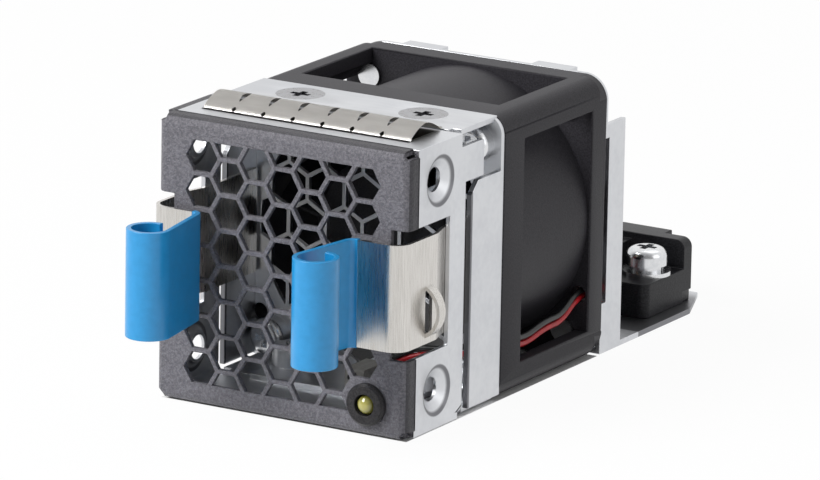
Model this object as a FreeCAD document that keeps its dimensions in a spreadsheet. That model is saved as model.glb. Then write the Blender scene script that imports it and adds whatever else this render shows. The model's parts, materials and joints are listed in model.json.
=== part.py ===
# Fan tray for a rack switch: a sheet-metal box with a 40 mm fan, two spring latches and a rear plug.
# Millimetres. +X is right, +Y is towards the chassis, +Z is up. The origin is under the middle of
# the tray, on the surface that it stands on.
import FreeCAD, Part

import math
import os
import re

import Sketcher

doc = FreeCAD.newDocument("fan_tray")
sheet = doc.addObject("Spreadsheet::Sheet", "sizes")
workings = doc.addObject("Spreadsheet::Sheet", "workings")

# Driving dimensions
DRIVING = {
    # Front shell
    "side_inset": 0.1,
    "sheet": 0.8,
    "bend_radius": 1.3,
    "paint_depth": 2.5,
    "paint_step": 0.06,
    "shell_depth": 13.9,
    "corner_relief": 0.75,
    "hex_pitch": 4.95,
    "hex_wall": 0.64,
    "window_below": 8.9,
    "window_above": 9.1,
    "window_back": 2.9,
    "notch_width": 2.7,
    "flange_margin": 2.6,
    "side_wall_reach": 1.1,
    "side_wall_rise": 1.0,
    "side_tab_setback": 5.3,
    "side_tab_drop": 2.0,
    "side_tab_tall": 5.0,
    # Formed countersunk dimples
    "dimple_radius": 3.5,
    "dimple_depth": 1.1,
    "dimple_rim": 0.5,
    "dimple_hole_radius": 1.7,
    "side_dimple_setback": 8.2,
    "side_dimple_inset": 5.4,
    "cup_wall": 0.55,
    # Bracket round the fan's front
    "bracket_reach": 11.1,
    "bracket_gap": 0.5,
    "bracket_shoulder": 1.6,
    "bracket_notch": 2.6,
    "bracket_side_gap": 2.5,
    "bracket_tab_gap": 0.4,
    "bracket_side_chamfer": 1.8,
    "guard_pitch": 5.95,
    "guard_wall": 0.6,
    "guard_inset": 0.4,
    "guard_shift_x": 1.0,
    "guard_shift_z": 0.4,
    # Fan
    "fan_side": 40.0,
    "fan_depth": 28.0,
    "fan_corner": 2.5,
    "fan_rear_corner": 3.6,
    "front_flange": 5.5,
    "rear_flange": 3.9,
    "corner_post": 4.2,
    "barrel_wall": 0.8,
    "bore_inset": 1.3,
    "fan_hole_inset": 4.0,
    "tip_gap": 0.6,
    "hub_radius": 10.8,
    "hub_wall": 0.7,
    "hub_setback": 1.6,
    "hub_rear_gap": 1.4,
    "blade_count": 7.0,
    "blade_thickness": 0.8,
    "blade_margin": 2.05,
    "cup_thickness": 0.5,
    "magnet_thickness": 1.0,
    "air_gap": 0.35,
    "shaft_radius": 1.5,
    "running_gap": 0.03,
    "bearing_outer_radius": 3.0,
    "bearing_width": 2.5,
    "tube_wall": 0.6,
    "stator_length": 7.0,
    "board_thickness": 1.0,
    "base_thickness": 1.6,
    "strut_count": 5.0,
    "strut_width": 1.6,
    "strut_length": 3.0,
    "clip_thickness": 0.4,
    "clip_setback": 0.3,
    "clip_inner_radius": 1.15,
    "clip_outer_radius": 2.4,
    "bearing_setback": 0.5,
    "stator_yoke": 1.0,
    "stator_shoe": 0.8,
    "pole_width": 2.2,
    "pole_slot": 1.6,
    "winding_thickness": 0.7,
    "chip_circle": 6.2,
    "hub_boss_wall": 1.2,
    "hub_boss_length": 1.6,
    "hub_edge": 0.6,
    "blade_chord": 12.5,
    "blade_camber": 0.8,
    "wire_slot_half_width": 2.4,
    "wire_slot_half_height": 0.7,
    "wire_exit_drop": 8.0,
    # Rear bracket
    "floor_reach": 34.4,
    "rear_plate_inset": 0.2,
    "side_strip_depth": 5.0,
    "side_strip_drop": 7.0,
    "strip_slot_low": 7.3,
    "strip_slot_drop": 2.0,
    "strip_slot_width": 1.4,
    "top_tab_depth": 2.0,
    "top_tab_inner": 7.3,
    "top_tab_outer": 13.6,
    "rear_chamfer_x": 3.4,
    "rear_chamfer_y": 8.4,
    # Rear connector
    "connector_inset": 2.3,
    "ear_width": 8.6,
    "ear_reach": 17.4,
    "ear_height": 5.0,
    "wall_reach": 6.4,
    "wall_thickness": 2.4,
    "wall_height": 9.2,
    "shroud_inset": 5.5,
    "shroud_wall": 1.1,
    "contact_count": 6.0,
    "contact_pitch": 3.0,
    "contact_side": 0.9,
    "contact_tail": 1.6,
    "contact_block_setback": 2.0,
    "contact_block_height": 8.2,
    "contact_rise": 2.5,
    "shroud_height": 8.6,
    "plug_corner": 1.4,
    "plug_notch": 0.3,
    "plug_notch_height": 1.6,
    # Latches
    "leaf_height": 14.8,
    "leaf_lift": 0.1,
    "leaf_thickness": 0.5,
    "leaf_stand_off": 1.3,
    "leaf_bend": 2.2,
    "leaf_root_setback": 1.4,
    "joggle_gap": 0.4,
    "joggle_length": 3.2,
    "web_bend": 1.3,
    "curl_setback": 12.5,
    "curl_radius": 2.8,
    "curl_inset": 6.8,
    "curl_turn": 280.0,
    "web_lean": 9.0,
    "grip_coat": 0.12,
    "catch_y": 5.4,
    "catch_width": 1.6,
    "catch_below": 6.4,
    "catch_above": 0.5,
    "catch_rise": 2.2,
    "leaf_proud": 0.1,
    # Screws
    "top_screw_x": 9.8,
    "top_screw_setback": 4.7,
    "screw_radius": 1.45,
    "screw_length": 3.6,
    "hole_gap": 0.05,
    "collar_radius": 3.4,
    "collar_height": 2.6,
    "pan_head_radius": 2.7,
    "pan_head_height": 1.9,
    "fan_screw_radius": 1.7,
    "fan_screw_grip": 4.4,
    "washer_thickness": 0.6,
    "fan_washer_radius": 2.7,
    "plug_screw_inset": 3.4,
    "plug_screw_setback": 11.2,
    "plug_washer_radius": 3.5,
    "plug_head_radius": 2.95,
    "plug_head_height": 2.5,
    "spring_washer_height": 0.8,
    "spring_washer_radius": 2.5,
    # Indicator lamp
    "lamp_inset": 5.96,
    "lamp_z": 4.47,
    "lamp_ring_radius": 2.95,
    "lamp_ring_proud": 1.0,
    "lamp_barrel_radius": 2.3,
    "lamp_radius": 1.45,
    "lamp_length": 4.6,
    "lamp_dome": 0.3,
    "lamp_lead_radius": 0.3,
    "lamp_plug_x": 6.0,
    "lamp_plug_setback": 9.6,
    "lamp_plug_width": 3.0,
    "lamp_plug_height": 4.2,
    "lamp_plug_length": 5.6,
    "lamp_wire_rise": 3.0,
    # Wires
    "wire_radius": 0.42,
    "wire_gap": 0.12,
    "wire_hole_radius": 1.2,
    "wire_pass_inset": 1.7,
    "wire_front_z": 6.8,
    "wire_rear_z": 9.4,
    # Gasket
    "gasket_front": 5.4,
    "gasket_lip": 0.8,
    "gasket_span": 7.3,
    "gasket_rise": 2.15,
    "gasket_thickness": 0.16,
    "gasket_inset": 3.5,
    "finger_count": 7.0,
    "finger_slit": 0.22,
}

# Places that follow from the driving dimensions, in the tray's frame
DERIVED = {
    # Widths and levels
    "tray_height": "fan_side",
    "axis_z": "tray_height / 2",
    "fan_half": "fan_side / 2",
    "half_width": "fan_half - side_inset",
    "shell_width": "2 * half_width",
    "inner_half_width": "half_width - sheet",
    "flange_half_width": "top_screw_x + flange_margin",
    "bracket_narrow": "half_width - bracket_notch",
    "rear_plate_half_width": "fan_half - rear_plate_inset",
    "connector_half_width": "rear_plate_half_width - connector_inset",
    "plug_screw_x": "connector_half_width - plug_screw_inset",
    "shroud_half_width": "connector_half_width - shroud_inset",
    "lamp_x": "half_width - lamp_inset",
    "wire_pass_x": "fan_half - wire_pass_inset",
    "gasket_half_width": "half_width - gasket_inset",
    "curl_x": "half_width - curl_inset",
    "window_low": "axis_z - window_below",
    "window_high": "axis_z + window_above",
    "side_dimple_pitch": "tray_height - 2 * side_dimple_inset",
    "side_tab_high": "tray_height - side_tab_drop",
    "side_tab_low": "side_tab_high - side_tab_tall",
    "bracket_side_top": "side_tab_low - bracket_tab_gap",
    "side_strip_top": "tray_height - side_strip_drop",
    "strip_slot_high": "side_strip_top - strip_slot_drop",
    "leaf_middle": "axis_z + leaf_lift",
    "leaf_low_z": "leaf_middle - leaf_height / 2",
    "catch_low": "leaf_middle - catch_below",
    "catch_high": "leaf_middle + catch_above",
    "ear_top_z": "sheet + ear_height",
    "wall_top_z": "sheet + wall_height",
    "contact_z": "sheet + contact_rise - contact_side / 2",
    "lamp_wire_z": "2 * sheet + lamp_wire_rise",
    # Depths behind the face
    "plenum_depth": "shell_depth + bracket_reach",
    "bracket_plate_start": "shell_depth + bracket_gap",
    "bracket_wide_start": "shell_depth + bracket_shoulder",
    "bracket_side_start": "shell_depth + bracket_side_gap",
    "top_screw_y": "plenum_depth - top_screw_setback",
    "flange_end": "top_screw_y + collar_radius",
    "side_wall_end": "shell_depth + side_wall_reach",
    "side_tab_end": "plenum_depth - side_tab_setback",
    "leaf_root": "plenum_depth - leaf_root_setback",
    "window_depth": "shell_depth - window_back",
    "joggle_start": "window_depth - joggle_gap",
    "joggle_end": "joggle_start - joggle_length",
    "rear_reach": "plenum_depth + fan_depth + floor_reach",
    "grip_reach": "curl_setback + curl_radius + leaf_thickness / 2 + grip_coat",
    # Places along Y
    "face_y": "(grip_reach - rear_reach) / 2",
    "fan_front_y": "face_y + plenum_depth",
    "fan_rear_y": "fan_front_y + fan_depth",
    "plate_y": "fan_front_y - sheet",
    "rear_plate_y": "fan_rear_y",
    "rear_plate_back_y": "rear_plate_y + sheet",
    "rear_edge_y": "face_y + rear_reach",
    "ear_front_y": "rear_edge_y - ear_reach",
    "wall_front_y": "rear_edge_y - wall_reach",
    "wall_back_y": "wall_front_y + wall_thickness",
    "plug_screw_place_y": "rear_edge_y - plug_screw_setback",
    "contact_block_y": "ear_front_y + contact_block_setback",
    "contact_tail_y": "contact_block_y - contact_tail",
    "dimple_y": "face_y + side_dimple_setback",
    "lamp_ring_front_y": "face_y - lamp_ring_proud",
    "lamp_back_y": "lamp_ring_front_y + lamp_length",
    "lamp_plug_y": "face_y + lamp_plug_setback",
    # Fan and motor
    "fan_low_z": "axis_z - fan_half",
    "fan_high_z": "axis_z + fan_half",
    "bore_radius": "fan_half - bore_inset",
    "barrel_radius": "bore_radius + barrel_wall",
    "guard_radius": "bore_radius - guard_inset",
    "fan_hole_pitch": "fan_side - 2 * fan_hole_inset",
    "hole_offset": "fan_hole_pitch / 2",
    "base_rear_y": "fan_rear_y - sheet / 2",
    "base_front_y": "base_rear_y - base_thickness",
    "board_rear_y": "base_front_y",
    "board_front_y": "board_rear_y - board_thickness",
    "hub_front_y": "fan_front_y + hub_setback",
    "hub_rear_y": "base_rear_y - strut_length - hub_rear_gap",
    "hub_length": "hub_rear_y - hub_front_y",
    "blade_length": "hub_length - 2 * blade_margin",
    "blade_radius": "bore_radius - tip_gap",
    "tube_radius": "bearing_outer_radius + tube_wall",
    "tube_front_y": "hub_front_y + hub_wall + cup_thickness + hub_boss_length + cup_thickness",
    "stator_radius": "hub_radius - hub_wall - cup_thickness - magnet_thickness - air_gap",
    "stator_rear_y": "board_front_y - winding_thickness - board_thickness",
    "stator_front_y": "stator_rear_y - stator_length",
    "magnet_outer": "hub_radius - hub_wall - cup_thickness",
    "magnet_front_y": "stator_front_y - winding_thickness",
}


def fill_sheet():
    for row, (name, value) in enumerate(DRIVING.items(), start=1):
        sheet.set(f"A{row}", name)
        sheet.set(f"B{row}", str(value))
        sheet.setAlias(f"B{row}", name)
    doc.recompute()
    for row, (name, rule) in enumerate(DERIVED.items(), start=len(DRIVING) + 1):
        sheet.set(f"A{row}", name)
        sheet.set(f"B{row}", "=" + rule)
        sheet.setAlias(f"B{row}", name)
    doc.recompute()


fill_sheet()
NAMES = list(DRIVING) + list(DERIVED)


class Sizes:
    """The sheet's values, read by name."""

    def __getattr__(self, name):
        return float(sheet.get(name))


size = Sizes()
X_AXIS = FreeCAD.Vector(1, 0, 0)
Y_AXIS = FreeCAD.Vector(0, 1, 0)
Z_AXIS = FreeCAD.Vector(0, 0, 1)
TURN_TO = {
    "X": FreeCAD.Rotation(Y_AXIS, 90),
    "Y": FreeCAD.Rotation(X_AXIS, -90),
    "Z": FreeCAD.Rotation(),
}
TURN_OF_BODY = {
    "Y": FreeCAD.Rotation(),
    "Z": FreeCAD.Rotation(X_AXIS, 90),
}
SCRATCH_CELL = "A1"
finished = []


def with_sheet(rule):
    """The rule with the sheet's name before each of its sizes."""
    return re.sub(r"[a-z_]+", lambda m: "sizes." + m.group() if m.group() in NAMES else m.group(), str(rule))


def bind(item, prop, rule):
    """Tie a property to the sheet by a rule in the sizes' names."""
    item.setExpression(prop, with_sheet(rule))


def place(item, x, y, z, axis="Z"):
    item.Placement = FreeCAD.Placement(FreeCAD.Vector(), TURN_TO[axis])
    for letter, rule in zip("xyz", (x, y, z)):
        bind(item, "Placement.Base." + letter, rule)
    return item


def block(x, y, z, length, width, height):
    """A box from its low corner."""
    item = doc.addObject("Part::Box", "block")
    bind(item, "Length", length)
    bind(item, "Width", width)
    bind(item, "Height", height)
    return place(item, x, y, z)


def rod(x, y, z, radius, length, axis="Z"):
    item = doc.addObject("Part::Cylinder", "rod")
    bind(item, "Radius", radius)
    bind(item, "Height", length)
    return place(item, x, y, z, axis)


def cone(x, y, z, first_radius, last_radius, length, axis="Z"):
    item = doc.addObject("Part::Cone", "cone")
    bind(item, "Radius1", first_radius)
    bind(item, "Radius2", last_radius)
    bind(item, "Height", length)
    return place(item, x, y, z, axis)


def join(*items):
    if len(items) == 1:
        return items[0]
    item = doc.addObject("Part::MultiFuse", "join")
    item.Shapes = list(items)
    item.Refine = True
    return item


def cut(base, *tools):
    item = doc.addObject("Part::Cut", "cut")
    item.Base = base
    item.Tool = join(*tools)
    item.Refine = True
    return item


def rounded(base, radius, chosen):
    """Round the edges of base for which chosen(edge) is true."""
    base.recompute()
    item = doc.addObject("Part::Fillet", "rounded")
    item.Base = base
    item.Edges = [(i, radius, radius) for i, edge in enumerate(base.Shape.Edges, start=1) if chosen(edge)]
    return item


def along(edge, axis):
    """True where a straight edge runs along the axis."""
    first, last = edge.Vertexes[0].Point, edge.Vertexes[-1].Point
    step = last - first
    return step.Length > 0 and abs(abs(step.dot(axis)) - step.Length) < 1e-6


def at_y(edge, y):
    """True where an edge lies in the plane at y."""
    return all(abs(vertex.Y - y) < 1e-6 for vertex in edge.Vertexes)


def at_z(edge, z):
    """True where an edge lies in the plane at z."""
    return all(abs(vertex.Z - z) < 1e-6 for vertex in edge.Vertexes)


def shaped(shape):
    item = doc.addObject("Part::Feature", "shaped")
    item.Shape = shape
    return item


def finish(label, item):
    item.Label = label
    finished.append(item)
    return item


def origin_plane(body, role):
    return [item for item in body.Origin.OriginFeatures if item.Role == role][0]


def outline_sketch(body, plane, corners):
    """A closed outline of straight sides, each corner held at two rules of the sizes."""
    sketch = body.newObject("Sketcher::SketchObject", "outline")
    sketch.AttachmentSupport = (origin_plane(body, plane), "")
    sketch.MapMode = "FlatFace"
    count = len(corners)
    start = [FreeCAD.Vector(rule_value(x), rule_value(y), 0) for x, y in corners]
    for i in range(count):
        sketch.addGeometry(Part.LineSegment(start[i], start[(i + 1) % count]), False)
    for i in range(count):
        sketch.addConstraint(Sketcher.Constraint("Coincident", i, 2, (i + 1) % count, 1))
    for i, rules in enumerate(corners):
        for kind, rule, now, axis in zip(("DistanceX", "DistanceY"), rules, start[i][:2], (-2, -1)):
            if str(rule) == "0":
                sketch.addConstraint(Sketcher.Constraint("PointOnObject", i, 1, axis))
                continue
            number = sketch.addConstraint(Sketcher.Constraint(kind, -1, 1, i, 1, now))
            bind(sketch, f"Constraints[{number}]", rule)
    return sketch


def rule_value(rule):
    """The present value of a rule in the sizes' names, worked out in a sheet of its own."""
    workings.set(SCRATCH_CELL, "=" + with_sheet(rule))
    workings.recompute()
    return float(workings.get(SCRATCH_CELL))


def turned_body(corners, x="0", y="0", z="0", axis="Y"):
    """A body of revolution. Corners are (radius, place along the axis)."""
    body = doc.addObject("PartDesign::Body", "turned")
    sketch = outline_sketch(body, "XY_Plane", corners)
    turn = body.newObject("PartDesign::Revolution", "turn")
    turn.Profile = sketch
    turn.ReferenceAxis = (sketch, ["V_Axis"])
    turn.Angle = 360
    body.Placement = FreeCAD.Placement(FreeCAD.Vector(), TURN_OF_BODY[axis])
    for letter, rule in zip("xyz", (x, y, z)):
        bind(body, "Placement.Base." + letter, rule)
    return body


def padded_body(corners, plane, length, x="0"):
    """A plate with the outline of the corners."""
    body = doc.addObject("PartDesign::Body", "plate")
    sketch = outline_sketch(body, plane, corners)
    pad = body.newObject("PartDesign::Pad", "pad")
    pad.Profile = sketch
    bind(pad, "Length", length)
    bind(body, "Placement.Base.x", x)
    return body


# Bent strips

def bent_path(points, radii):
    """Straight runs and arcs through points given as complex numbers, with a radius at each inner point."""
    pieces = []
    now = points[0]
    for before, corner, after, radius in zip(points, points[1:], points[2:], radii):
        first = (corner - before) / abs(corner - before)
        last = (after - corner) / abs(after - corner)
        turn = math.atan2((first.conjugate() * last).imag, (first.conjugate() * last).real)
        trim = radius * math.tan(abs(turn) / 2)
        start = corner - first * trim
        centre = start + first * 1j * math.copysign(radius, turn)
        pieces.append(("line", now, start))
        pieces.append(("arc", centre, start, turn))
        now = corner + last * trim
    pieces.append(("line", now, points[-1]))
    return pieces


def side_of(piece, shift):
    """The piece moved to its left by shift: first, middle and last point."""
    kind, one, two = piece[:3]
    if kind == "line":
        move = (two - one) / abs(two - one) * 1j * shift
        return one + move, None, two + move
    turn = piece[3]
    spoke = two - one
    spoke = spoke * (1 - shift * math.copysign(1, turn) / abs(spoke))
    halfway, whole = (complex(math.cos(angle), math.sin(angle)) for angle in (turn / 2, turn))
    return one + spoke, one + spoke * halfway, one + spoke * whole


def band(pieces, thickness, to_space, depth):
    """A strip of the given thickness along the pieces, made solid by the vector depth."""
    left = [side_of(piece, thickness / 2) for piece in pieces]
    right = [side_of(piece, -thickness / 2) for piece in pieces]
    edges = []
    for first, middle, last in left + right:
        if middle is None:
            edges.append(Part.LineSegment(to_space(first), to_space(last)).toShape())
        else:
            edges.append(Part.Arc(to_space(first), to_space(middle), to_space(last)).toShape())
    edges.append(Part.LineSegment(to_space(left[0][0]), to_space(right[0][0])).toShape())
    edges.append(Part.LineSegment(to_space(left[-1][2]), to_space(right[-1][2])).toShape())
    return Part.Face(Part.Wire(Part.__sortEdges__(edges))).extrude(depth)


def polygon_prism(points, depth):
    return Part.Face(Part.makePolygon(points + points[:1])).extrude(depth)


def vector(x, y, z):
    return FreeCAD.Vector(x, y, z)


# Front shell: one painted and plated sheet, folded into a box that is open at the back

def hexagon(x, y, z, flat_radius, depth, pointed_up):
    """A six-sided hole along Y. flat_radius is half the width across its flats."""
    corner_radius = flat_radius / math.cos(math.pi / 6)
    first = math.pi / 6 if pointed_up else 0.0
    corners = []
    for i in range(6):
        angle = first + i * math.pi / 3
        corners.append(vector(x + corner_radius * math.cos(angle), y, z + corner_radius * math.sin(angle)))
    return polygon_prism(corners, vector(0, depth, 0))


def front_holes():
    """Seven columns of hexagons. Every other column ends in half hexagons; the lamp takes the last corner."""
    pitch = size.hex_pitch
    flat_radius = (pitch - size.hex_wall) / 2
    column_step = pitch * math.cos(math.pi / 6)
    front = size.face_y - size.sheet
    depth = 3 * size.sheet
    top = size.axis_z + 3 * pitch + flat_radius
    low = size.axis_z - 3 * pitch - flat_radius
    frame = Part.makeBox(size.shell_width, depth, top - low, vector(-size.half_width, front, low))
    lamp_place = vector(size.lamp_x, front, size.lamp_z)
    holes = []
    for column in range(-3, 4):
        shifted = column % 2 == 0
        rows = [i + 0.5 for i in range(-4, 4)] if shifted else range(-3, 4)
        for row in rows:
            x, z = column * column_step, size.axis_z + row * pitch
            if math.hypot(x - size.lamp_x, z - size.lamp_z) < size.lamp_ring_radius + flat_radius:
                continue
            hole = hexagon(x, front, z, flat_radius, depth, False)
            holes.append(hole.common(frame) if shifted else hole)
    lamp_hole = Part.makeCylinder(size.lamp_barrel_radius + size.hole_gap, depth, lamp_place, Y_AXIS)
    return shaped(Part.makeCompound(holes + [lamp_hole]))


def dimple(axis, first, second, surface, outward, rim_length="dimple_rim"):
    """The cup and the hollow of a countersunk dimple pressed into a sheet, with a straight rim at its end."""
    def at(place_along_axis):
        return {"X": (place_along_axis, first, second), "Z": (first, second, place_along_axis)}[axis]

    narrow, wide = "dimple_hole_radius", "dimple_radius"
    if outward > 0:
        low = f"({surface}) - dimple_depth"
        rim_low, past = f"{low} - {rim_length}", f"{low} - 2 * dimple_rim"
        ends = (narrow, wide)
    else:
        low, rim_low, past = surface, f"({surface}) + dimple_depth / 2", f"({surface}) - dimple_rim"
        ends = (wide, narrow)
    cup = cone(*at(low), *(end + " + cup_wall" for end in ends), "dimple_depth", axis)
    rim = rod(*at(rim_low), f"{narrow} + cup_wall", f"{rim_length} + dimple_depth / 2", axis)
    hollow = cone(*at(low), *ends, "dimple_depth", axis)
    hole = rod(*at(past), narrow, "dimple_depth + 3 * dimple_rim", axis)
    return [cup, rim], [hollow, hole]


def make_front_shell():
    painted = block("-half_width", "face_y", "0", "shell_width", "paint_depth", "tray_height")
    front_y = size.face_y
    painted = rounded(painted, size.bend_radius, lambda e: at_y(e, front_y))
    plated = block("-half_width + paint_step", "face_y + bend_radius", "paint_step",
                   "shell_width - 2 * paint_step", "shell_depth - bend_radius",
                   "tray_height - 2 * paint_step")
    inside = block("-inner_half_width", "face_y + sheet", "sheet",
                   "2 * inner_half_width", "shell_depth", "tray_height - 2 * sheet")
    box = cut(join(painted, plated), inside)
    added = []
    removed = [front_holes()]
    for side in (-1, 1):
        window_x = "half_width - notch_width" if side > 0 else "-half_width - sheet"
        removed.append(block(window_x, "face_y - sheet", "window_low",
                             "notch_width + sheet", "window_depth + sheet", "window_high - window_low"))
        tab_x = "inner_half_width" if side > 0 else "-half_width + paint_step"
        tab = block(tab_x, "face_y + shell_depth - sheet", "side_tab_low",
                    "sheet - paint_step", "side_tab_end - shell_depth + sheet",
                    "side_tab_high - side_tab_low")
        wall = block(tab_x, "face_y + shell_depth - sheet", "side_wall_rise",
                     "sheet - paint_step", "side_wall_end - shell_depth + sheet",
                     "side_tab_low + sheet - side_wall_rise")
        wall_end = size.face_y + size.side_wall_end
        wall = rounded(wall, size.side_wall_rise, lambda e: at_y(e, wall_end) and at_z(e, size.side_wall_rise))
        added += [tab, wall]
        for level in (-1, 1):
            surface = f"{side} * (half_width - paint_step)"
            cup, hollow = dimple("X", "dimple_y", f"axis_z + {level} * side_dimple_pitch / 2", surface, side)
            added += cup
            removed += hollow
            relief_x = f"{side} * (half_width - corner_relief / 2)"
            relief_z = f"axis_z + {level} * (tray_height / 2 - corner_relief / 2)"
            removed.append(rod(relief_x, "face_y - sheet", relief_z, "corner_relief",
                               "sheet + paint_depth", "Y"))
            collar, tapped = screw_collar(side, level)
            added.append(collar)
            removed += tapped
    for level in (-1, 1):
        low = "sheet" if level < 0 else "tray_height - 2 * sheet"
        added.append(block("-flange_half_width", "face_y + shell_depth - 2 * sheet", low,
                           "2 * flange_half_width", "flange_end - shell_depth + 2 * sheet", "sheet"))
    return finish("front_shell", cut(join(box, *added), *removed))


def screw_collar(side, level):
    """A tapped collar under the shell's flange, and the hole that clears the bracket's dimple."""
    x = f"{side} * top_screw_x"
    y = "face_y + top_screw_y"
    if level < 0:
        base, seat, through = "2 * sheet", "sheet", "0"
    else:
        base, seat = "tray_height - 2 * sheet - collar_height", "tray_height - dimple_depth - hole_gap"
        through = "tray_height - 2 * sheet - 2 * collar_height"
    collar = rod(x, y, base, "collar_radius", "collar_height")
    clear = rod(x, y, seat, "dimple_radius - sheet + hole_gap", "dimple_depth - sheet + hole_gap")
    thread = rod(x, y, through, "screw_radius + hole_gap", "2 * sheet + 2 * collar_height")
    return collar, [clear, thread]


make_front_shell()


# Shielding gasket: a springy finger strip arched over the top of the shell

def make_gasket():
    lip = size.gasket_lip
    front = size.face_y + size.gasket_front
    low = size.tray_height - size.paint_step + size.gasket_thickness / 2
    half_span = size.gasket_span / 2
    bow = (half_span ** 2 + size.gasket_rise ** 2) / (2 * size.gasket_rise)
    half_turn = math.asin(half_span / bow)
    foot = complex(front + lip, low)
    centre = foot + complex(half_span, size.gasket_rise - bow)
    end = foot + size.gasket_span
    arch = [("line", foot - lip, foot), ("arc", centre, foot, -2 * half_turn), ("line", end, end + lip)]

    def to_space(point):
        return vector(-size.gasket_half_width, point.real, point.imag)

    width = 2 * size.gasket_half_width
    thickness = size.gasket_thickness
    body = band([arch[1]], thickness, to_space, vector(width, 0, 0))
    for foot_piece in (arch[0], arch[2]):
        body = body.fuse(band([foot_piece], thickness, to_space, vector(width, 0, 0)))
    finger = width / size.finger_count
    slit_end = centre.real + lip
    tall = 2 * size.gasket_rise
    for i in range(1, int(size.finger_count)):
        x = -size.gasket_half_width + i * finger - size.finger_slit / 2
        start = vector(x, front - lip, low - lip)
        body = body.cut(Part.makeBox(size.finger_slit, slit_end - front + lip, tall, start))
        relief = vector(x + size.finger_slit / 2, slit_end, low)
        body = body.cut(Part.makeCylinder(1.6 * size.finger_slit, tall, relief))
    return finish("emi_gasket", shaped(body))


make_gasket()


# Fan bracket: a plated sheet folded round the fan's front, with a finger guard cut through it

def guard_holes():
    pitch = size.guard_pitch
    flat_radius = (pitch - size.guard_wall) / 2
    row_step = pitch * math.cos(math.pi / 6)
    front = size.plate_y - size.sheet
    depth = 3 * size.sheet
    ring = Part.makeCylinder(size.guard_radius, depth, vector(0, front, size.axis_z), Y_AXIS)
    reach = math.ceil(size.guard_radius / row_step)
    holes = []
    for row in range(-reach, reach + 1):
        for column in range(-reach, reach + 1):
            x = (column + 0.5 * (row % 2)) * pitch + size.guard_shift_x
            z = row * row_step + size.guard_shift_z
            if math.hypot(x, z) - flat_radius > size.guard_radius - size.guard_wall:
                continue
            hole = hexagon(x, front, size.axis_z + z, flat_radius, depth, True)
            holes.append(hole.common(ring))
    return shaped(Part.makeCompound(holes))


def make_fan_bracket():
    back = block("-half_width", "plate_y", "0", "shell_width", "sheet", "tray_height")
    back = rounded(back, size.fan_corner, lambda e: along(e, Y_AXIS))
    added = []
    removed = [guard_holes()]
    for level in (-1, 1):
        low = "0" if level < 0 else "tray_height - sheet"
        added.append(block("-bracket_narrow", "face_y + bracket_plate_start", low,
                           "2 * bracket_narrow", "plenum_depth - bracket_plate_start", "sheet"))
        wide = block("-half_width + fan_corner / 2", "face_y + bracket_wide_start", low,
                     "shell_width - fan_corner", "plenum_depth - bracket_wide_start", "sheet")
        added.append(wide)
        for side in (-1, 1):
            surface = "tray_height" if level > 0 else "0"
            cup, hollow = dimple("Z", f"{side} * top_screw_x", "face_y + top_screw_y", surface, level, "0")
            added += cup
            removed += hollow
            removed.append(rod(f"{side} * hole_offset", "plate_y - sheet", f"axis_z + {level} * hole_offset",
                               "fan_screw_radius + hole_gap", "3 * sheet", "Y"))
    for side in (-1, 1):
        x = "inner_half_width" if side > 0 else "-half_width"
        start = "face_y + bracket_side_start"
        top = "bracket_side_top"
        chamfer = "bracket_side_chamfer"
        corners = [
            (start, "sheet + paint_step"),
            ("fan_front_y", "sheet + paint_step"),
            ("fan_front_y", top),
            (f"{start} + {chamfer}", top),
            (start, f"{top} - {chamfer}"),
        ]
        added.append(padded_body(corners, "YZ_Plane", "sheet", x=x))
    for side in (-1, 1):
        removed.append(rod(f"{side} * wire_pass_x", "plate_y - sheet", "wire_front_z",
                           "wire_hole_radius + hole_gap", "3 * sheet", "Y"))
    return finish("fan_bracket", cut(join(back, *added), *removed))


make_fan_bracket()


# Screws

def screw_recess(x, y, z, half_length, depth, axis):
    """A cross recess that opens at the place given."""
    arm = "screw_radius / 3"
    wide, deep = f"2 * ({half_length})", f"2 * ({depth})"
    pair = []
    for first, second in ((wide, f"2 * {arm}"), (f"2 * {arm}", wide)):
        if axis == "Z":
            pair.append(block(f"{x} - ({first}) / 2", f"{y} - ({second}) / 2", f"{z} - {depth}",
                              first, second, deep))
        else:
            pair.append(block(f"{x} - ({first}) / 2", f"{y} - {depth}", f"{z} - ({second}) / 2",
                              first, deep, second))
    return pair


def countersunk_screw(side, level):
    """A flat-headed screw that holds the bracket and the shell together."""
    x, y = f"{side} * top_screw_x", "face_y + top_screw_y"
    head = "(dimple_radius - 2 * hole_gap)"
    sunk = "(dimple_depth - hole_gap)"
    if level > 0:
        top = "(tray_height - hole_gap)"
        parts = [cone(x, y, f"{top} - {sunk}", "screw_radius", head, sunk),
                 rod(x, y, f"{top} - {sunk} - screw_length", "screw_radius", f"{sunk} / 2 + screw_length")]
    else:
        top = "hole_gap"
        parts = [cone(x, y, top, head, "screw_radius", sunk),
                 rod(x, y, f"{top} + {sunk} / 2", "screw_radius", f"{sunk} / 2 + screw_length")]
    return cut(join(*parts), *screw_recess(x, y, top, "screw_radius", f"0.8 * {sunk}", "Z"))


def group(label, items):
    item = doc.addObject("Part::Compound", "group")
    item.Links = items
    return finish(label, item)


group("top_bracket_screws", [countersunk_screw(side, 1) for side in (-1, 1)])
group("bottom_bracket_screws", [countersunk_screw(side, -1) for side in (-1, 1)])


def fan_corners():
    for side in (-1, 1):
        for level in (-1, 1):
            yield f"{side} * hole_offset", f"axis_z + {level} * hole_offset"


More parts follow.
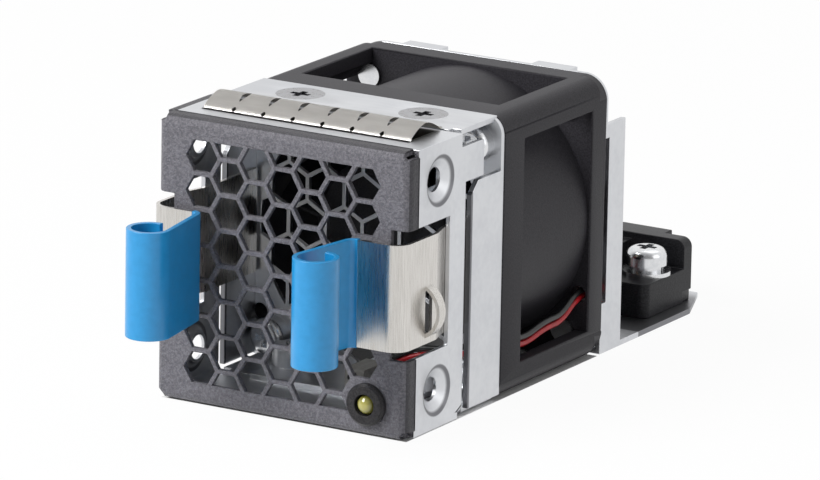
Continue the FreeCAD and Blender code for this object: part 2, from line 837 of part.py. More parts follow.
def fan_screw(x, z):
    """A pan-headed screw that cuts its thread in the fan's corner."""
    under = "plate_y - washer_thickness"
    head = rod(x, f"{under} - pan_head_height", z, "pan_head_radius", "pan_head_height", "Y")
    front_y = rule_value(f"{under} - pan_head_height")
    head = rounded(head, size.pan_head_height / 2, lambda e: at_y(e, front_y))
    shank = rod(x, under, z, "fan_screw_radius", "washer_thickness + sheet + fan_screw_grip", "Y")
    recess = screw_recess(x, f"{under} - pan_head_height", z, "screw_radius", "pan_head_height / 2", "Y")
    return cut(join(head, shank), *recess)


def washer(x, y, z, outer, bore, thickness, axis):
    ring = rod(x, y, z, outer, thickness, axis)
    return cut(ring, rod(x, y, z, bore, thickness, axis))


group("fan_screws", [fan_screw(x, z) for x, z in fan_corners()])
group("fan_screw_washers", [
    washer(x, "plate_y - washer_thickness", z, "fan_washer_radius", "fan_screw_radius + hole_gap",
           "washer_thickness", "Y") for x, z in fan_corners()])


# Fan housing: two square flanges, a round barrel and the motor base on its struts

def radial_bars(count, first_angle, near, far, width, front, length):
    """Bars like spokes, from radius near to radius far about the fan's axis."""
    centre = vector(0, 0, size.axis_z)
    bars = []
    for i in range(int(count)):
        bar = Part.makeBox(far - near, length, width, vector(near, front, size.axis_z - width / 2))
        bar.rotate(centre, Y_AXIS, first_angle + i * 360 / int(count))
        bars.append(bar)
    return bars


STRUT_START = 54


def make_fan_housing():
    front = block("-fan_half", "fan_front_y", "fan_low_z", "fan_side", "front_flange", "fan_side")
    front = rounded(front, size.fan_corner, lambda e: along(e, Y_AXIS))
    rear = block("-fan_half", "fan_rear_y - rear_flange", "fan_low_z", "fan_side", "rear_flange", "fan_side")
    rear = rounded(rear, size.fan_rear_corner, lambda e: along(e, Y_AXIS))
    barrel = rod("0", "fan_front_y + front_flange / 2", "axis_z", "barrel_radius",
                 "fan_depth - front_flange / 2 - rear_flange / 2", "Y")
    posts = []
    for x in ("-fan_half", "fan_half - corner_post"):
        for z in ("fan_low_z", "fan_high_z - corner_post"):
            post = block(x, "fan_front_y + front_flange / 2", z, "corner_post",
                         "fan_depth - front_flange / 2 - rear_flange / 2", "corner_post")
            corner_x = size.fan_half if "- corner_post" in x else -size.fan_half
            corner_z = size.fan_high_z if "- corner_post" in z else size.fan_low_z
            posts.append(rounded(post, size.fan_corner, lambda e: along(e, Y_AXIS) and all(
                abs(v.X - corner_x) < 1e-6 and abs(v.Z - corner_z) < 1e-6 for v in e.Vertexes)))
    bore = rod("0", "fan_front_y", "axis_z", "bore_radius", "fan_depth", "Y")
    holes = []
    for x, z in fan_corners():
        holes.append(rod(x, "fan_front_y", z, "fan_screw_radius + hole_gap", "fan_depth", "Y"))
    for side in (-1, 1):
        holes.append(rod(f"{side} * wire_pass_x", "fan_front_y", "wire_front_z", "wire_hole_radius",
                         "front_flange", "Y"))
        holes.append(rod(f"{side} * wire_pass_x", "fan_rear_y - rear_flange", "wire_rear_z",
                         "wire_hole_radius", "rear_flange", "Y"))
    shell = cut(join(front, rear, barrel, *posts), bore, *holes)
    base = rod("0", "base_front_y", "axis_z", "hub_radius", "base_thickness", "Y")
    wire_slot = block("-wire_slot_half_width", "base_front_y",
                      "axis_z - wire_exit_drop - wire_slot_half_height",
                      "2 * wire_slot_half_width", "base_thickness", "2 * wire_slot_half_height")
    socket = rod("0", "base_front_y", "axis_z", "tube_radius + hole_gap", "base_thickness", "Y")
    base = cut(base, wire_slot, socket)
    reach = size.bore_radius + size.barrel_wall / 2
    near = size.hub_radius - size.barrel_wall
    struts = radial_bars(size.strut_count, STRUT_START, near, reach, size.strut_width,
                         size.base_rear_y - size.strut_length, size.strut_length)
    return finish("fan_housing", join(shell, base, shaped(Part.makeCompound(struts))))


make_fan_housing()


# Motor: bearings in a brass tube, the wound core round it, the board and the chips behind the core

def ring_body(inner, outer, front, rear, label):
    corners = [(inner, front), (outer, front), (outer, rear), (inner, rear)]
    return finish(label, turned_body(corners, z="axis_z"))


ring_body("bearing_outer_radius + running_gap", "tube_radius", "tube_front_y", "base_rear_y", "bearing_tube")
BEARING_FRONTS = {
    "front_bearing": "tube_front_y + bearing_setback",
    "rear_bearing": "base_front_y - bearing_width",
}
for bearing_label, bearing_front in BEARING_FRONTS.items():
    groove = "bearing_width / 8"
    inner_race = "shaft_radius + running_gap + (bearing_outer_radius - shaft_radius) / 3"
    outer_race = "bearing_outer_radius - (bearing_outer_radius - shaft_radius) / 4"
    bearing_rear = f"{bearing_front} + bearing_width"
    finish(bearing_label, turned_body([
        ("shaft_radius + running_gap", bearing_front),
        (inner_race, bearing_front),
        (inner_race, f"{bearing_front} + {groove}"),
        (outer_race, f"{bearing_front} + {groove}"),
        (outer_race, bearing_front),
        ("bearing_outer_radius", bearing_front),
        ("bearing_outer_radius", bearing_rear),
        ("shaft_radius + running_gap", bearing_rear),
    ], z="axis_z"))


def annulus(inner, outer, front, length):
    start = vector(0, front, size.axis_z)
    ring = Part.makeCylinder(outer, length, start, Y_AXIS)
    return ring.cut(Part.makeCylinder(inner, length, start, Y_AXIS))


POLE_COUNT = 4
POLE_START = 45


def make_stator():
    inner = size.tube_radius + size.hole_gap
    root = inner + size.stator_yoke
    length = size.stator_length
    front = size.stator_front_y
    core = annulus(inner, root, front, length)
    shoe_inner = size.stator_radius - size.stator_shoe
    arms = radial_bars(POLE_COUNT, POLE_START, root - size.stator_yoke / 2, shoe_inner + size.stator_shoe / 2,
                       size.pole_width, front, length)
    shoes = annulus(shoe_inner, size.stator_radius, front, length)
    slots = radial_bars(POLE_COUNT, 0, shoe_inner - size.stator_shoe, size.stator_radius + size.stator_shoe,
                        size.pole_slot, front - length, 3 * length)
    for slot in slots:
        shoes = shoes.cut(slot)
    core = core.fuse(arms + [shoes])
    finish("stator_core", shaped(core.removeSplitter()))
    gap = size.hole_gap
    wire_room = size.winding_thickness
    coil_width = size.pole_width + 2 * wire_room
    coil_end = math.sqrt((shoe_inner - gap) ** 2 - (coil_width / 2) ** 2)
    outer_ring = radial_bars(POLE_COUNT, POLE_START, root + gap + wire_room / 2, coil_end,
                             coil_width, front - wire_room, length + 2 * wire_room)
    inner_hole = radial_bars(POLE_COUNT, POLE_START, root - wire_room, shoe_inner + wire_room,
                             size.pole_width + 2 * gap, front - gap, length + 2 * gap)
    coils = [whole.cut(hole) for whole, hole in zip(outer_ring, inner_hole)]
    finish("stator_windings", shaped(Part.makeCompound(coils)))


make_stator()
board = cut(rod("0", "board_front_y", "axis_z", "stator_radius", "board_thickness", "Y"),
            rod("0", "board_front_y", "axis_z", "tube_radius + hole_gap", "board_thickness", "Y"))
finish("motor_board", board)


# Each chip's angle on the board, width, depth and height
CHIPS = (
    (90, 3.0, 2.6, 0.9),
    (200, 1.8, 1.5, 0.8),
    (320, 1.6, 1.2, 0.7),
)


def make_board_chips():
    chips = []
    for angle, width, depth, tall in CHIPS:
        x = size.chip_circle * math.cos(math.radians(angle))
        z = size.axis_z + size.chip_circle * math.sin(math.radians(angle))
        start = vector(x - width / 2, size.board_front_y - tall, z - depth / 2)
        chips.append(Part.makeBox(width, tall, depth, start))
    return finish("board_chips", shaped(Part.makeCompound(chips)))


make_board_chips()


# Rotor

def make_impeller():
    inner = "hub_radius - hub_wall"
    boss = "shaft_radius + hub_boss_wall"
    cap_back = "hub_front_y + hub_wall"
    edge = "hub_edge"
    hub = turned_body([
        ("0", "hub_front_y"),
        (f"hub_radius - {edge}", "hub_front_y"),
        ("hub_radius", f"hub_front_y + {edge}"),
        ("hub_radius", "hub_rear_y"),
        (inner, "hub_rear_y"),
        (inner, cap_back),
        (boss, cap_back),
        (boss, f"{cap_back} + cup_thickness + hub_boss_length"),
        ("shaft_radius + running_gap", f"{cap_back} + cup_thickness + hub_boss_length"),
        ("shaft_radius + running_gap", cap_back),
        ("0", cap_back),
    ], z="axis_z")
    front = size.hub_front_y + (size.hub_length - size.blade_length) / 2
    ring = annulus(size.hub_radius - size.hub_wall / 2, size.blade_radius, front, size.blade_length)
    blades = []
    for i in range(int(size.blade_count)):
        loft = Part.makeLoft([blade_section(size.hub_radius * BLADE_SINK, ROOT_CHORD, front),
                              blade_section(size.blade_radius + size.tip_gap, 1.0, front)], True, True)
        loft.rotate(vector(0, 0, size.axis_z), Y_AXIS, i * 360 / int(size.blade_count))
        blades.append(loft.common(ring))
    return finish("impeller", join(hub, shaped(Part.makeCompound(blades))))


# A blade starts inside the hub's wall, with a shorter chord there and thin edges
BLADE_STEPS = 5
BLADE_SINK = 0.75
ROOT_CHORD = 0.62
EDGE_SHARE = 0.55


def blade_section(radius, share, front):
    """A thin curved blade's outline at one radius, in a flat plane across the radius."""
    chord = size.blade_chord * share
    half = size.blade_thickness / 2
    front_line, back_line = [], []
    for i in range(BLADE_STEPS + 1):
        along_axis = i / BLADE_STEPS
        across = chord * (0.5 - along_axis ** size.blade_camber)
        y = front + size.blade_length * along_axis
        taper = half * (EDGE_SHARE + (1 - EDGE_SHARE) * math.sin(math.pi * along_axis))
        front_line.append(vector(radius, y, size.axis_z + across + taper))
        back_line.append(vector(radius, y, size.axis_z + across - taper))
    corners = front_line + back_line[::-1]
    return Part.makePolygon(corners + corners[:1])


make_impeller()
cup_outer = "hub_radius - hub_wall"
cup_front = "hub_front_y + hub_wall"
finish("rotor_cup", turned_body([
    ("shaft_radius + hub_boss_wall + hole_gap", cup_front),
    (cup_outer, cup_front),
    (cup_outer, "hub_rear_y - hub_wall"),
    ("magnet_outer", "hub_rear_y - hub_wall"),
    ("magnet_outer", f"{cup_front} + cup_thickness"),
    ("shaft_radius + hub_boss_wall + hole_gap", f"{cup_front} + cup_thickness"),
], z="axis_z"))
ring_body("magnet_outer - magnet_thickness", "magnet_outer", "magnet_front_y", "hub_rear_y - hub_wall",
          "ring_magnet")
groove_front = "base_front_y + clip_setback"
groove_rear = f"{groove_front} + clip_thickness"
finish("rotor_shaft", turned_body([
    ("0", cup_front),
    ("shaft_radius", cup_front),
    ("shaft_radius", groove_front),
    ("clip_inner_radius", groove_front),
    ("clip_inner_radius", groove_rear),
    ("shaft_radius", groove_rear),
    ("shaft_radius", "base_rear_y - clip_setback"),
    ("0", "base_rear_y - clip_setback"),
], z="axis_z"))
clip_ring = cut(rod("0", groove_front, "axis_z", "clip_outer_radius", "clip_thickness", "Y"),
                rod("0", groove_front, "axis_z", "clip_inner_radius", "clip_thickness", "Y"),
                block("-clip_inner_radius / 2", groove_front, "axis_z - clip_outer_radius",
                      "clip_inner_radius", "clip_thickness", "clip_outer_radius"))
finish("retaining_clip", clip_ring)


# Rear bracket: the plate on the fan's back, its side strips and tabs, and the floor under the connector

def make_rear_bracket():
    half = "rear_plate_half_width"
    plate = block(f"-{half}", "rear_plate_y", "0", f"2 * {half}", "sheet", "tray_height")
    plate = rounded(plate, size.fan_rear_corner, lambda e: along(e, Y_AXIS))
    floor = padded_body([
        (f"-{half}", "rear_plate_y"),
        (half, "rear_plate_y"),
        (half, "rear_edge_y - rear_chamfer_y"),
        (f"{half} - rear_chamfer_x", "rear_edge_y"),
        (f"rear_chamfer_x - {half}", "rear_edge_y"),
        (f"-{half}", "rear_edge_y - rear_chamfer_y"),
    ], "XY_Plane", "sheet")
    added = [floor]
    removed = [rod("0", "rear_plate_y", "axis_z", "bore_radius", "sheet", "Y")]
    for side in (-1, 1):
        strip_x = f"{half} - sheet" if side > 0 else f"-{half}"
        added.append(block(strip_x, "rear_plate_y", "0", "sheet", "sheet + side_strip_depth",
                           "side_strip_top"))
        slot_x = f"{half} - sheet - strip_slot_width / 2" if side > 0 else f"-{half} - sheet"
        removed.append(block(slot_x, "rear_plate_y", "strip_slot_low", "2 * sheet + strip_slot_width / 2",
                             "strip_slot_width", "strip_slot_high - strip_slot_low"))
        tab_x = "top_tab_inner" if side > 0 else "-top_tab_outer"
        added.append(block(tab_x, "rear_plate_y", "tray_height - sheet", "top_tab_outer - top_tab_inner",
                           "sheet + top_tab_depth", "sheet"))
        removed.append(rod(f"{side} * wire_pass_x", "rear_plate_y", "wire_rear_z",
                           "wire_hole_radius + hole_gap", "sheet", "Y"))
        removed.append(rod(f"{side} * plug_screw_x", "plug_screw_place_y", "0",
                           "screw_radius + hole_gap", "sheet"))
    for x, z in fan_corners():
        removed.append(rod(x, "rear_plate_y", z, "fan_screw_radius + hole_gap", "sheet", "Y"))
    return finish("rear_bracket", cut(join(plate, *added), *removed))


def rear_screw(x, z):
    """A pan-headed screw that holds the rear plate to the fan."""
    back = rule_value("rear_plate_back_y + pan_head_height")
    head = rod(x, "rear_plate_back_y", z, "pan_head_radius", "pan_head_height", "Y")
    head = rounded(head, size.pan_head_height / 2, lambda e: at_y(e, back))
    shank = rod(x, "rear_plate_y - fan_screw_grip", z, "fan_screw_radius", "fan_screw_grip + sheet", "Y")
    recess = screw_recess(x, "rear_plate_back_y + pan_head_height", z, "screw_radius",
                          "pan_head_height / 2", "Y")
    return cut(join(head, shank), *recess)


make_rear_bracket()
group("rear_screws", [rear_screw(x, z) for x, z in fan_corners()])


# Rear connector: a moulded body with a screwed ear at each end, and its row of contacts

def contact_places():
    count = int(size.contact_count)
    return [f"({i} - ({count} - 1) / 2) * contact_pitch" for i in range(count)]


def make_connector():
    half = "connector_half_width"
    middle = f"({half} - ear_width)"
    depth = "wall_front_y - ear_front_y"
    core = block(f"-{middle}", "contact_block_y", "sheet", f"2 * {middle}",
                 "wall_front_y - contact_block_y", "contact_block_height")
    wall = block(f"-{half}", "wall_front_y", "sheet", f"2 * {half}", "wall_thickness", "wall_height")
    top = size.wall_top_z
    wall = rounded(wall, size.plug_corner, lambda e: along(e, Y_AXIS) and at_z(e, top))
    shroud = block("-shroud_half_width", "wall_back_y", "sheet", "2 * shroud_half_width",
                   "rear_edge_y - wall_back_y", "shroud_height")
    parts = [core, wall, shroud]
    removed = [block("shroud_wall - shroud_half_width", "wall_back_y - wall_thickness / 2",
                     "sheet + shroud_wall",
                     "2 * shroud_half_width - 2 * shroud_wall",
                     "rear_edge_y - wall_back_y + wall_thickness / 2", "shroud_height - 2 * shroud_wall")]
    front = size.ear_front_y
    for side in (-1, 1):
        ear = block(middle if side > 0 else f"-{half}", "ear_front_y", "sheet",
                    "ear_width", depth, "ear_height")
        outer = side * size.connector_half_width
        parts.append(rounded(ear, size.plug_corner, lambda e: along(e, Z_AXIS) and all(
            abs(v.Y - front) < 1e-6 and abs(v.X - outer) < 1e-6 for v in e.Vertexes)))
        removed.append(rod(f"{side} * plug_screw_x", "plug_screw_place_y", "sheet", "screw_radius + hole_gap",
                           "ear_height"))
        notch_x = f"{half} - plug_notch" if side > 0 else f"-{half}"
        removed.append(block(notch_x, "wall_front_y", "sheet", "plug_notch", "wall_thickness",
                             "plug_notch_height"))
    for x in contact_places():
        removed.append(block(f"{x} - contact_side / 2 - hole_gap", "contact_block_y", "contact_z - hole_gap",
                             "contact_side + 2 * hole_gap", "rear_edge_y - contact_block_y",
                             "contact_side + 2 * hole_gap"))
    return finish("connector_body", cut(join(*parts), *removed))


make_connector()
group("connector_contacts", [
    block(f"{x} - contact_side / 2", "contact_tail_y", "contact_z", "contact_side",
          "rear_edge_y - contact_tail_y - shroud_wall", "contact_side") for x in contact_places()])


def plug_screw(x):
    under = "(ear_top_z + washer_thickness + spring_washer_height)"
    top = rule_value(f"{under} + plug_head_height")
    head = rod(x, "plug_screw_place_y", under, "plug_head_radius", "plug_head_height")
    head = rounded(head, size.plug_head_height / 2, lambda e: at_z(e, top))
    shank = rod(x, "plug_screw_place_y", "hole_gap", "screw_radius", f"{under} - hole_gap")
    recess = screw_recess(x, "plug_screw_place_y", f"{under} + plug_head_height", "screw_radius",
                          "plug_head_height / 2", "Z")
    return cut(join(head, shank), *recess)


def spring_washer(x):
    low = "ear_top_z + washer_thickness"
    ring = washer(x, "plug_screw_place_y", low, "spring_washer_radius", "screw_radius + hole_gap",
                  "spring_washer_height", "Z")
    split = block(x, f"plug_screw_place_y - spring_washer_height / 4", low, "2 * spring_washer_radius",
                  "spring_washer_height / 2", "spring_washer_height")
    return cut(ring, split)


PLUG_SCREWS = ["-plug_screw_x", "plug_screw_x"]
group("connector_screws", [plug_screw(x) for x in PLUG_SCREWS])
group("connector_washers", [
    washer(x, "plug_screw_place_y", "ear_top_z", "plug_washer_radius", "screw_radius + hole_gap",
           "washer_thickness", "Z") for x in PLUG_SCREWS])
group("connector_spring_washers", [spring_washer(x) for x in PLUG_SCREWS])


# Indicator lamp in its ring, and the small plug on its wires

lamp_inner = "lamp_radius + hole_gap"
ring_edge = "lamp_ring_proud / 3"
finish("lamp_ring", turned_body([
    (lamp_inner, "lamp_ring_front_y"),
    (f"lamp_ring_radius - {ring_edge}", "lamp_ring_front_y"),
    ("lamp_ring_radius", f"lamp_ring_front_y + {ring_edge}"),
    ("lamp_ring_radius", "face_y"),
    ("lamp_barrel_radius", "face_y"),
    ("lamp_barrel_radius", "lamp_back_y - lamp_ring_proud"),
    (lamp_inner, "lamp_back_y - lamp_ring_proud"),
], x="lamp_x", z="lamp_z"))


def make_lamp():
    dome_y = "(lamp_ring_front_y + lamp_radius - lamp_dome)"
    dome = doc.addObject("Part::Sphere", "dome")
    bind(dome, "Radius", "lamp_radius")
    place(dome, "lamp_x", dome_y, "lamp_z")
    body = rod("lamp_x", dome_y, "lamp_z", "lamp_radius", f"lamp_back_y - {dome_y}", "Y")
    return finish("lamp_lens", join(dome, body))


make_lamp()
finish("lamp_plug", block("lamp_plug_x - lamp_plug_width / 2", "lamp_plug_y", "2 * sheet",
                          "lamp_plug_width", "lamp_plug_length", "lamp_plug_height"))


# Wires: straight runs joined by tangent arcs

ARC_SHARE = 0.45


def wire_tube(points, radius, name):
    """A round wire through the points. Each arc is as large as its two runs allow."""
    edges = []
    radii = []
    now = points[0]
    for before, corner, after in zip(points, points[1:], points[2:]):
        first, last = corner - before, after - corner
        turn = first.getAngle(last)
        shorter = min(first.Length, last.Length)
        trim = ARC_SHARE * shorter
        bend = trim / math.tan(turn / 2)
        radii.append(round(bend / (2 * radius), 1))
        first.normalize()
        last.normalize()
        start, end = corner - first * trim, corner + last * trim
        inward = (last - first).normalize()
        middle = corner + inward * (bend / math.cos(turn / 2) - bend)
        edges.append(Part.LineSegment(now, start).toShape())
        edges.append(Part.Arc(start, middle, end).toShape())
        now = end
    edges.append(Part.LineSegment(now, points[-1]).toShape())
    path = Part.Wire(edges)
    section = Part.Wire(Part.makeCircle(radius, points[0], points[1] - points[0]))
    tube = path.makePipeShell([section], True, False)
    expected = math.pi * radius ** 2 * path.Length
    print(f"{name}: {path.Length:.1f} mm, volume {tube.Volume / expected:.4f} of the expected, "
          f"bends in diameters {radii}")
    return tube


def from_face(x, setback, z):
    return vector(x, size.face_y + setback, z)


def from_fan(x, setback, z):
    return vector(x, size.fan_front_y + setback, z)


def behind_fan(x, setback, z):
    return vector(x, size.fan_rear_y + setback, z)


def before_contacts(x, setback, z):
    return vector(x, size.contact_tail_y - setback, z)


def lamp_wire(level, contact, name):
    """One of the pair from the lamp's plug to the rear connector, above (1) or below (-1) its partner."""
    lift = level * (size.wire_radius + size.wire_gap / 2)
    plug_rear = size.lamp_plug_y + size.lamp_plug_length
    side = size.wire_pass_x
    end_x = rule_value(contact_places()[contact])
    end_z = size.contact_z + size.contact_side / 2
    route = [
        vector(size.lamp_plug_x, plug_rear, size.lamp_wire_z + lift),
        vector(size.lamp_plug_x, plug_rear + 2.2, size.lamp_wire_z + lift),
        from_fan(9.3, -4.8, 6.5 + lift),
        from_fan(side - 3.9, -5.1, 7.1 + lift),
        from_fan(side - 0.2, -3.0, 7.8 + lift),
        from_fan(side, 0, size.wire_front_z + lift),
        from_fan(side, size.front_flange, size.wire_front_z - 0.05 + lift),
        from_fan(side + 0.1, 9.4, 6.2 + lift),
        from_fan(side + 0.2, 14.5, 7.2 + lift),
        from_fan(side + 0.1, 19.3, 7.1 + lift),
        behind_fan(side, -size.rear_flange - 0.6, size.wire_rear_z - 0.05 + lift),
        behind_fan(side, size.sheet + 0.4, size.wire_rear_z + lift),
        behind_fan(side - 1.0, 5.6, 8.2 + 1.1 * lift),
        before_contacts(end_x + 0.45 * (side - end_x), 6.9, 5.4 + lift),
        before_contacts(end_x, 3.0, end_z),
        before_contacts(end_x, 0, end_z),
    ]
    finish(name, shaped(wire_tube(route, size.wire_radius, name)))


def lamp_lead(level):
    lift = level * (size.wire_radius + size.wire_gap / 2)
    route = [
        vector(size.lamp_x, size.lamp_back_y, size.lamp_z + lift),
        vector(size.lamp_x, size.lamp_back_y + 1.6, size.lamp_z + lift),
        from_face(10.4, 6.9, 4.4 + lift),
        vector(size.lamp_plug_x, size.lamp_plug_y - 1.9, size.lamp_wire_z + lift),
        vector(size.lamp_plug_x, size.lamp_plug_y, size.lamp_wire_z + lift),
    ]
    return wire_tube(route, size.lamp_lead_radius, "lamp lead")


def fan_wire(number, name):
    """One of the four wires from the motor board, through the slot in the motor base, to the connector."""
    step = 2 * size.wire_radius + size.wire_gap
    start_x = (number - 1.5) * step
    end_x = rule_value(contact_places()[number])
    start_z = size.axis_z - size.wire_exit_drop
    end_z = size.contact_z + size.contact_side / 2
    route = [
        vector(start_x, size.board_rear_y, start_z),
        vector(start_x, size.rear_plate_back_y + 1.2, start_z),
        behind_fan(start_x + 0.4 * (end_x - start_x), 7.2, 9.4 - 0.5 * (number % 2)),
        before_contacts(start_x + 0.9 * (end_x - start_x), 5.8, 5.4 - 0.3 * (number % 2)),
        before_contacts(end_x, 2.6, end_z),
        before_contacts(end_x, 0, end_z),
    ]
    finish(name, shaped(wire_tube(route, size.wire_radius, name)))


finish("lamp_leads", shaped(Part.makeCompound([lamp_lead(level) for level in (-1, 1)])))
lamp_wire(1, 5, "lamp_wire_black")
lamp_wire(-1, 4, "lamp_wire_red")
for wire_number, wire_colour in enumerate(("blue", "yellow", "black", "red")):
    fan_wire(wire_number, "fan_wire_" + wire_colour)


# Latches: bent spring leaves welded inside the bracket's sides, with coated pull grips in front

def leaf_path():
    """The right leaf seen from above, from its welded end to the free end of its curl."""
    half_thickness = size.leaf_thickness / 2
    inner_x = size.inner_half_width - half_thickness
    outer_x = size.half_width + size.leaf_proud - half_thickness
    front_y = size.face_y - size.leaf_stand_off - half_thickness
    curl_centre = complex(size.curl_x, size.face_y - size.curl_setback)
    lean = math.radians(size.web_lean)
    web_way = complex(-math.sin(lean), -math.cos(lean))
    web_end = curl_centre - size.curl_radius * web_way * 1j
    web_start = web_end + web_way * (front_y - web_end.imag) / web_way.imag
    corners = [
        complex(inner_x, size.face_y + size.leaf_root),
        complex(inner_x, size.face_y + size.joggle_start),
        complex(outer_x, size.face_y + size.joggle_end),
        complex(outer_x, front_y),
        web_start,
        web_end,
    ]
    bends = [size.web_bend, size.web_bend, size.leaf_bend, size.web_bend]
    curl = ("arc", curl_centre, web_end, math.radians(size.curl_turn))
    return bent_path(corners, bends) + [curl]


def longer_curl(pieces, extra):
    """The pieces with the last arc made longer by a distance along it."""
    kind, centre, start, turn = pieces[-1]
    return pieces[:-1] + [(kind, centre, start, turn + extra / abs(start - centre))]


def make_leaf():
    low = size.leaf_low_z
    rise = vector(0, 0, size.leaf_height)
    leaf = band(leaf_path(), size.leaf_thickness, lambda p: vector(p.real, p.imag, low), rise)
    outer_x = size.half_width + size.leaf_proud - size.leaf_thickness / 2
    catch_y = size.face_y + size.catch_y
    half_width = size.catch_width / 2
    foot = size.leaf_thickness
    slit = foot / 4
    window = Part.makeBox(4 * foot, 2 * half_width + 2 * slit, size.catch_high - size.catch_low - 2 * foot,
                          vector(outer_x - 2 * foot, catch_y - half_width - slit, size.catch_low + foot))
    half_chord = (size.catch_high - size.catch_low) / 2
    bow = (half_chord ** 2 + size.catch_rise ** 2) / (2 * size.catch_rise)
    start = complex(outer_x, size.catch_low)
    centre = start + complex(size.catch_rise - bow, half_chord)
    turn = 2 * math.asin(half_chord / bow)
    bridge = band([("arc", centre, start, turn)], size.leaf_thickness,
                  lambda p: vector(p.real, catch_y - half_width, p.imag), vector(0, 2 * half_width, 0))
    return leaf.cut(window).fuse(bridge)


def make_grip():
    coat = size.grip_coat
    pieces = leaf_path()[-3:]
    low = size.leaf_low_z
    thick = band(longer_curl(pieces, coat), size.leaf_thickness + 2 * coat,
                 lambda p: vector(p.real, p.imag, low - coat), vector(0, 0, size.leaf_height + 2 * coat))
    core = band(pieces, size.leaf_thickness, lambda p: vector(p.real, p.imag, low),
                vector(0, 0, size.leaf_height))
    return thick.cut(core)


right_leaf, right_grip = make_leaf(), make_grip()
middle_plane = (vector(0, 0, 0), X_AXIS)
finish("right_latch_leaf", shaped(right_leaf))
finish("left_latch_leaf", shaped(right_leaf.mirror(*middle_plane)))
finish("right_grip_coat", shaped(right_grip))
finish("left_grip_coat", shaped(right_grip.mirror(*middle_plane)))


def check_and_write():
    doc.recompute()
    failed = [item.Name for item in doc.Objects if {"Invalid", "Error"} & set(item.State)]
    if failed:
        raise RuntimeError(f"objects failed: {failed}")
    os.makedirs("parts", exist_ok=True)
    for item in finished:
        shape = item.Shape
        if shape.isNull() or not shape.isValid():
            raise RuntimeError(f"{item.Label} has a bad shape")
        shape.exportStep(f"parts/{item.Label}.step")
    print(f"{len(finished)} sub-parts written")


check_and_write()
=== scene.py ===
# Fan tray for a rack switch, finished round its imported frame.
# Metres. +X is right, +Y is towards the chassis, +Z is up, and the tray stands on Z = 0.
import json
import math

import bmesh
import bpy
from mathutils import Matrix, Vector


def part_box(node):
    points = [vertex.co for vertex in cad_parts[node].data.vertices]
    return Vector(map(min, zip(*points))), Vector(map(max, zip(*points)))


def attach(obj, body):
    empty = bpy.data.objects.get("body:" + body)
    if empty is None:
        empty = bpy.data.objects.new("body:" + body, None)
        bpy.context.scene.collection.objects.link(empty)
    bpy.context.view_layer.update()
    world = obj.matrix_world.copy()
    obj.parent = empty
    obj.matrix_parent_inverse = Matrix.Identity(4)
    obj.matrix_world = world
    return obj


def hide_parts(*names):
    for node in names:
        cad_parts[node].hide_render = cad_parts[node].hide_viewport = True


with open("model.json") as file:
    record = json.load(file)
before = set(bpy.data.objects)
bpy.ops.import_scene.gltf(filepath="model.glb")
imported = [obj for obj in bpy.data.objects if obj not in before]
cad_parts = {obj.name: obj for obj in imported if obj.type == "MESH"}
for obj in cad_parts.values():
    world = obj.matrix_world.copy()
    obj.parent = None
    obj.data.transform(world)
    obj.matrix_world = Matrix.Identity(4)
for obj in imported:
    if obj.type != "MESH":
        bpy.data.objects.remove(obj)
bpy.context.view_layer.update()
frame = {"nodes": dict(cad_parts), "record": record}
face_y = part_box("front_shell")[0].y


# Camera: a long lens, right of the front and a little above it, as the photograph was taken.
PHOTO_WIDTH = 820
SENSOR_MM = 36.0
AZIMUTH, ELEVATION, ROLL = math.radians(30.676), math.radians(14.878), math.radians(1.067)
CAMERA_DISTANCE = 1.0895
PIXELS_PER_METRE = 7276
AIM_BEHIND_FACE, AIM_HEIGHT = 0.026, 0.0205
aim_point = Vector((0, face_y + AIM_BEHIND_FACE, AIM_HEIGHT))
AIM_PIXELS_RIGHT, AIM_PIXELS_DOWN = -29.148, -7.219
FARTHEST_SEEN = 20
camera_back = Vector((math.sin(AZIMUTH) * math.cos(ELEVATION), -math.cos(AZIMUTH) * math.cos(ELEVATION),
                      math.sin(ELEVATION)))
level_right = Vector((0, 0, 1)).cross(camera_back).normalized()
level_up = camera_back.cross(level_right)
camera_right = level_right * math.cos(ROLL) + level_up * math.sin(ROLL)
camera_up = level_up * math.cos(ROLL) - level_right * math.sin(ROLL)
camera = bpy.data.objects.new("camera", bpy.data.cameras.new("camera"))
camera.data.sensor_width = SENSOR_MM
camera.data.lens = PIXELS_PER_METRE * CAMERA_DISTANCE * SENSOR_MM / PHOTO_WIDTH
camera.data.clip_end = FARTHEST_SEEN
camera_place = (aim_point + camera_back * CAMERA_DISTANCE
                - camera_right * (AIM_PIXELS_RIGHT / PIXELS_PER_METRE)
                + camera_up * (AIM_PIXELS_DOWN / PIXELS_PER_METRE))
camera.matrix_world = (Matrix.Translation(camera_place)
                       @ Matrix((camera_right, camera_up, camera_back)).transposed().to_4x4())
bpy.context.collection.objects.link(camera)
bpy.context.scene.camera = camera


# Studio: a white sweep lit by large soft lamps. Metal sees the white sweep, and a dimmer room in front.
class Link:
    """A socket that gives a value. Arithmetic on it adds Math nodes to its finish."""

    def __init__(self, finish, socket):
        self.finish = finish
        self.socket = socket

    def math(self, operation, *others):
        return self.finish.node("ShaderNodeMath", {"operation": operation}, self, *others)

    def __add__(self, other):
        return self.math("ADD", other)

    def __mul__(self, other):
        return self.math("MULTIPLY", other)

    def __sub__(self, other):
        return self.math("SUBTRACT", other)

    def __rsub__(self, other):
        return self.finish.node("ShaderNodeMath", {"operation": "SUBTRACT"}, other, self)

    def __gt__(self, other):
        return self.math("GREATER_THAN", other)

    def __lt__(self, other):
        return self.math("LESS_THAN", other)

    __radd__ = __add__

    def between(self, low, high):
        """0 below low and 1 above high, and smooth in between."""
        settings = {"interpolation_type": "SMOOTHSTEP"}
        return self.finish.node("ShaderNodeMapRange", settings, self, low, high, 0.0, 1.0)


